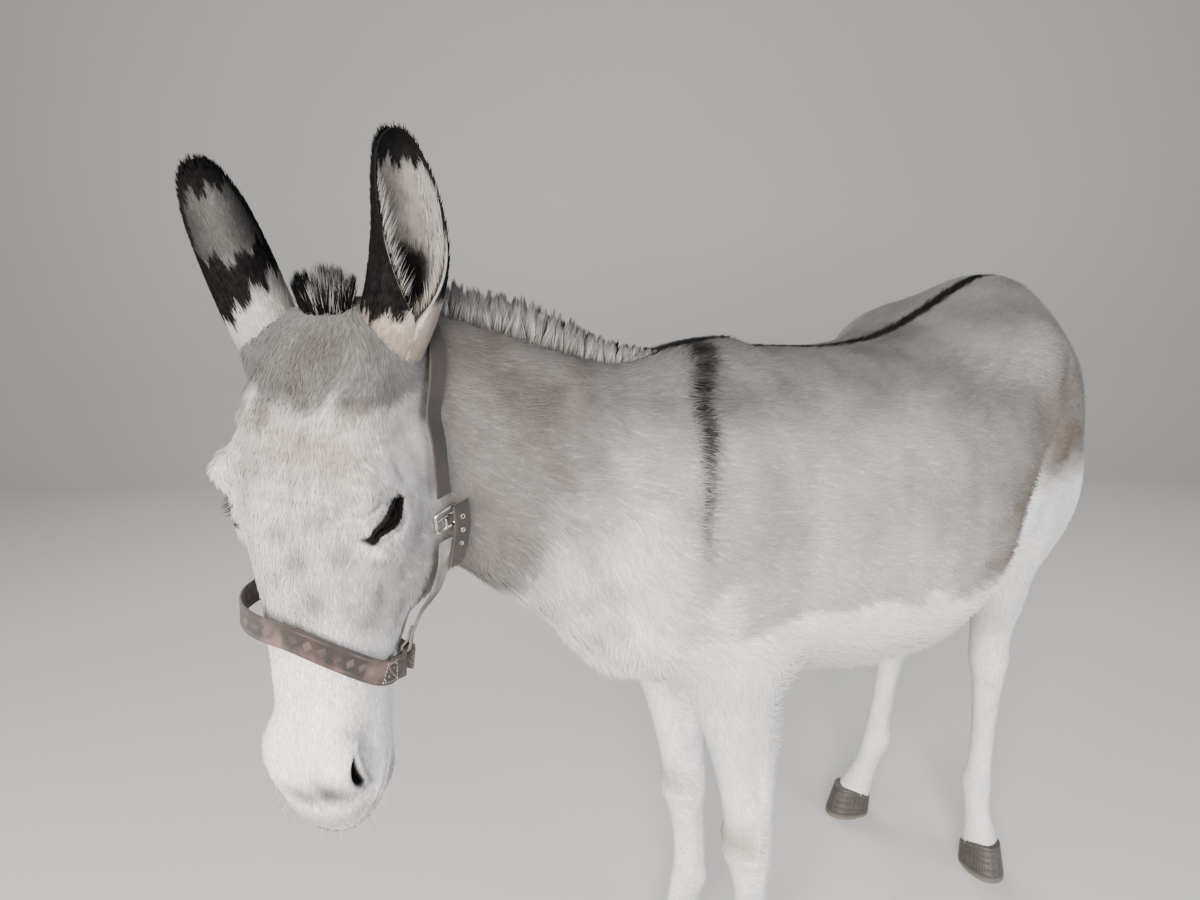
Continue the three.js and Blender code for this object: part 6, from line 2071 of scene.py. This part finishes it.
def build_lashes(finish):
    """Eyelashes along both lids."""
    for s, word in ((1, "Left"), (-1, "Right")):
        pick = np.random.default_rng(90 + s)
        centre, along, up, out = eye_axes(s)
        count = 60
        u = pick.uniform(-15, 20, count)
        upper = pick.random(count) < 0.8
        high, low = lid_edges(u)
        v = np.where(upper, high + pick.uniform(0.3, 1.6, count), -low - pick.uniform(0.3, 1.3, count))
        w = np.sqrt(np.maximum(22.0 ** 2 - u * u - v * v, 9))
        root = centre + u[:, None] * along + v[:, None] * up + (w - 0.5)[:, None] * out
        length = np.where(upper, 17, 8) * pick.uniform(0.6, 1.1, count) * (1 - 0.3 * (np.abs(u) / 19) ** 2)
        aim = out + np.where(upper, -0.25, -0.6)[:, None] * up
        aim = aim + (0.5 * u / 19 + pick.normal(0, 0.1, count))[:, None] * along
        aim += HEAD_AXES @ np.array([0.15, 0, -0.35])
        aim /= np.linalg.norm(aim, axis=1, keepdims=True)
        bend = root + aim * (length * 0.5)[:, None] - up * (0.06 * length)[:, None]
        tip = root + aim * length[:, None] + up * (np.where(upper, 0.11, -0.15) * length)[:, None]
        marks = np.zeros((count, 4))
        marks[:, 0] = 0.9
        marks[:, 1] = 1.0
        uv = np.tile([0.8, 0.75 if s > 0 else 0.7], (count, 1))
        strands(f"Lashes_{word}", np.stack([root, bend, tip], 1), pick.uniform(0.4, 0.65, count), marks,
                pick.random(count), uv, finish)


def build_whiskers(points, tris, finish):
    """Sparse long feelers on the muzzle and chin, with their roots in the skin."""
    middle = points[tris].mean(1)
    q = in_head(middle)
    where = (head_share(middle) > 0.5) & (-q[:, 2] > 420)
    for s in (1, -1):
        where &= np.linalg.norm(middle - nostril_axes(s)[0], axis=1) > 30
    root, n = scatter(points, tris, np.where(where, 1 / 420.0, 0), 95)
    pick = np.random.default_rng(96)
    count = len(root)
    length = pick.uniform(8, 22, count)
    aim = n + HEAD_AXES @ np.array([0.1, 0, -0.7]) + pick.normal(0, 0.15, (count, 3))
    aim /= np.linalg.norm(aim, axis=1, keepdims=True)
    tip = root + aim * length[:, None] + HEAD_AXES @ np.array([0, 0, -2.5])
    bend = root + aim * (0.5 * length)[:, None]
    marks = np.zeros((count, 4))
    marks[:, 0] = 0.85
    strands("Whiskers", np.stack([root, bend, tip], 1), pick.uniform(0.35, 0.55, count), marks, pick.random(count),
            unwrap(root), finish)


# ---------------------------------------------------------------- settings
def tint(name, hex_code, description):
    """A colour that a user can change."""
    return bpy.props.FloatVectorProperty(name=name, description=description, subtype="COLOR", size=3,
                                         min=0.0, max=1.0, default=linear(hex_code)[:3])


def size(name, mm, description):
    """A length that a user can change, given in millimetres."""
    return bpy.props.FloatProperty(name=name, description=description, default=mm * MM, min=0.001, unit="LENGTH")


class DonkeyCoatSettings(bpy.types.PropertyGroup):
    length: size("Length", 17.0, "Length of the hair on the trunk")
    short_length: size("Short Length", 9.5, "Length of the hair on the head and legs")
    density: bpy.props.FloatProperty(name="Density", description="Tufts on a square centimetre of the trunk",
                                     default=7.7, min=1.0, max=10.0)
    taupe: tint("Taupe", "#5a5856", "Back, neck and croup")
    pale: tint("Pale", "#f3f1ef", "Belly, legs, breast, thighs and nose")
    smoky: tint("Smoky", "#5c5856", "Grey mottles and lips")
    warm: tint("Warm", "#7c6853", "Forehead, knees and the feet of the ears")
    dark: tint("Dark", "#070606", "Cross, back stripe, ears and lids")


class DonkeyHairSettings(bpy.types.PropertyGroup):
    mane_height: bpy.props.FloatProperty(name="Mane Height", description="Height of the mane against its own shape",
                                         default=1.0, min=0.3, max=1.2)
    forelock_height: size("Forelock Height", 50.0, "Height of the tuft between the ears")


class DonkeyEyeSettings(bpy.types.PropertyGroup):
    pupil: tint("Pupil", "#020101", "The slot in the middle of the eye")
    iris: tint("Iris", "#140b07", "Round the pupil")


class DonkeyHoofSettings(bpy.types.PropertyGroup):
    horn: tint("Horn", "#35322f", "The wall of the hoof")
    ridges: tint("Ridges", "#4c4743", "Fine upright lines in the wall")
    dust: tint("Dust", "#7d766c", "The worn edge at the ground")


class DonkeyCollarSettings(bpy.types.PropertyGroup):
    nose_width: size("Noseband Width", 24.0, "Width of the noseband and the chin strap")
    strap_width: size("Strap Width", 19.0, "Width of the headpiece and the cheek straps")
    nose: tint("Noseband", "#2a2220", "Ground of the noseband's webbing")
    pattern: tint("Pattern", "#6d5953", "Woven pattern of the noseband")
    crown: tint("Headpiece", "#0e0b0a", "Webbing over the poll")
    cheek: tint("Cheek Straps", "#8a8580", "Webbing under the buckle")


class DonkeyStageSettings(bpy.types.PropertyGroup):
    lens: bpy.props.FloatProperty(name="Lens", description="Focal length of the viewer's lens on a 36 mm frame",
                                  default=24.99, unit="CAMERA")
    pitch: bpy.props.FloatProperty(name="Pitch", description="How far the viewer looks down",
                                   default=math.radians(12.656), subtype="ANGLE")
    roll: bpy.props.FloatProperty(name="Roll", description="How far the viewer leans",
                                  default=math.radians(-0.563), subtype="ANGLE")
    key: bpy.props.FloatProperty(name="Key Light", description="Power of the main lamp", default=320.0, unit="POWER")
    paper: tint("Paper", "#c6c4c0", "Floor and backdrop")


GROUPS = {
    "donkey_stage": DonkeyStageSettings, "donkey_coat": DonkeyCoatSettings, "donkey_hair": DonkeyHairSettings,
    "donkey_eye": DonkeyEyeSettings, "donkey_hoof": DonkeyHoofSettings, "donkey_collar": DonkeyCollarSettings,
}


# ---------------------------------------------------------------- operators and panel
class DONKEY_OT_stage(bpy.types.Operator):
    """Set out the floor, the lights and the camera"""
    bl_idname = "donkey.stage"
    bl_label = "Stage"

    def execute(self, context):
        build_stage(context.scene.donkey_stage)
        return {"FINISHED"}


class DONKEY_OT_skin(bpy.types.Operator):
    """Build the skin of the whole body, with lids, nostrils, lips and ears"""
    bl_idname = "donkey.skin"
    bl_label = "Skin"

    def execute(self, context):
        own = context.scene.donkey_coat
        SHARED["colours"] = {name: tuple(getattr(own, name)) for name in ("taupe", "pale", "smoky", "warm", "dark")}
        SHARED["skin"] = build_skin(SHARED["colours"])
        SHARED["coat_finish"] = coat_finish(SHARED["colours"])
        return {"FINISHED"}


class DONKEY_OT_coat(bpy.types.Operator):
    """Lay the short coat over the skin, and the hair of the ears, lids and muzzle"""
    bl_idname = "donkey.coat"
    bl_label = "Coat"

    def execute(self, context):
        points, tris = SHARED["skin"]
        finish = SHARED["coat_finish"]
        build_coat(points, tris, finish, context.scene.donkey_coat)
        build_ear_hair(finish)
        build_lashes(finish)
        build_whiskers(points, tris, finish)
        return {"FINISHED"}


class DONKEY_OT_long_hair(bpy.types.Operator):
    """Set the mane, the forelock and the switch of the tail"""
    bl_idname = "donkey.long_hair"
    bl_label = "Long Hair"

    def execute(self, context):
        finish, own = SHARED["coat_finish"], context.scene.donkey_hair
        build_mane(finish, own.mane_height)
        build_forelock(finish, own.forelock_height / MM)
        build_switch(finish)
        return {"FINISHED"}


class DONKEY_OT_eyes(bpy.types.Operator):
    """Build the two eyes"""
    bl_idname = "donkey.eyes"
    bl_label = "Eyes"

    def execute(self, context):
        build_eye(1, "Eye_Left", "eye_left", context.scene.donkey_eye)
        build_eye(-1, "Eye_Right", "eye_right", context.scene.donkey_eye)
        return {"FINISHED"}


class DONKEY_OT_hooves(bpy.types.Operator):
    """Build the four hooves"""
    bl_idname = "donkey.hooves"
    bl_label = "Hooves"

    def execute(self, context):
        finish = hoof_finish(context.scene.donkey_hoof)
        for limb in LIMBS:
            node = limb.replace("leg", "hoof")
            build_hoof(limb, node.title(), node, finish)
        return {"FINISHED"}


class DONKEY_OT_collar(bpy.types.Operator):
    """Build the headcollar: webbing, stitching, rings and buckle"""
    bl_idname = "donkey.collar"
    bl_label = "Headcollar"

    def execute(self, context):
        build_collar(context.scene.donkey_collar)
        return {"FINISHED"}


PIECES = (DONKEY_OT_stage, DONKEY_OT_skin, DONKEY_OT_coat, DONKEY_OT_long_hair, DONKEY_OT_eyes, DONKEY_OT_hooves,
          DONKEY_OT_collar)


class DONKEY_PT_panel(bpy.types.Panel):
    """Lists the pieces of the donkey and their settings"""
    bl_idname = "DONKEY_PT_panel"
    bl_label = "Donkey"
    bl_space_type = "VIEW_3D"
    bl_region_type = "UI"
    bl_category = "Donkey"

    def draw(self, context):
        for piece in PIECES:
            self.layout.operator(piece.bl_idname)
        for key, group in GROUPS.items():
            box = self.layout.box()
            box.label(text=key.replace("donkey_", "").title())
            for name in group.__annotations__:
                box.prop(getattr(context.scene, key), name)


CLASSES = (*GROUPS.values(), *PIECES, DONKEY_PT_panel)


def register():
    for item in CLASSES:
        bpy.utils.register_class(item)
    for key, group in GROUPS.items():
        setattr(bpy.types.Scene, key, bpy.props.PointerProperty(type=group))


def unregister():
    for key in GROUPS:
        delattr(bpy.types.Scene, key)
    for item in reversed(CLASSES):
        bpy.utils.unregister_class(item)


def main():
    register()
    for piece in PIECES:
        group, name = piece.bl_idname.split(".")
        getattr(getattr(bpy.ops, group), name)()


if __name__ == "__main__":
    main()
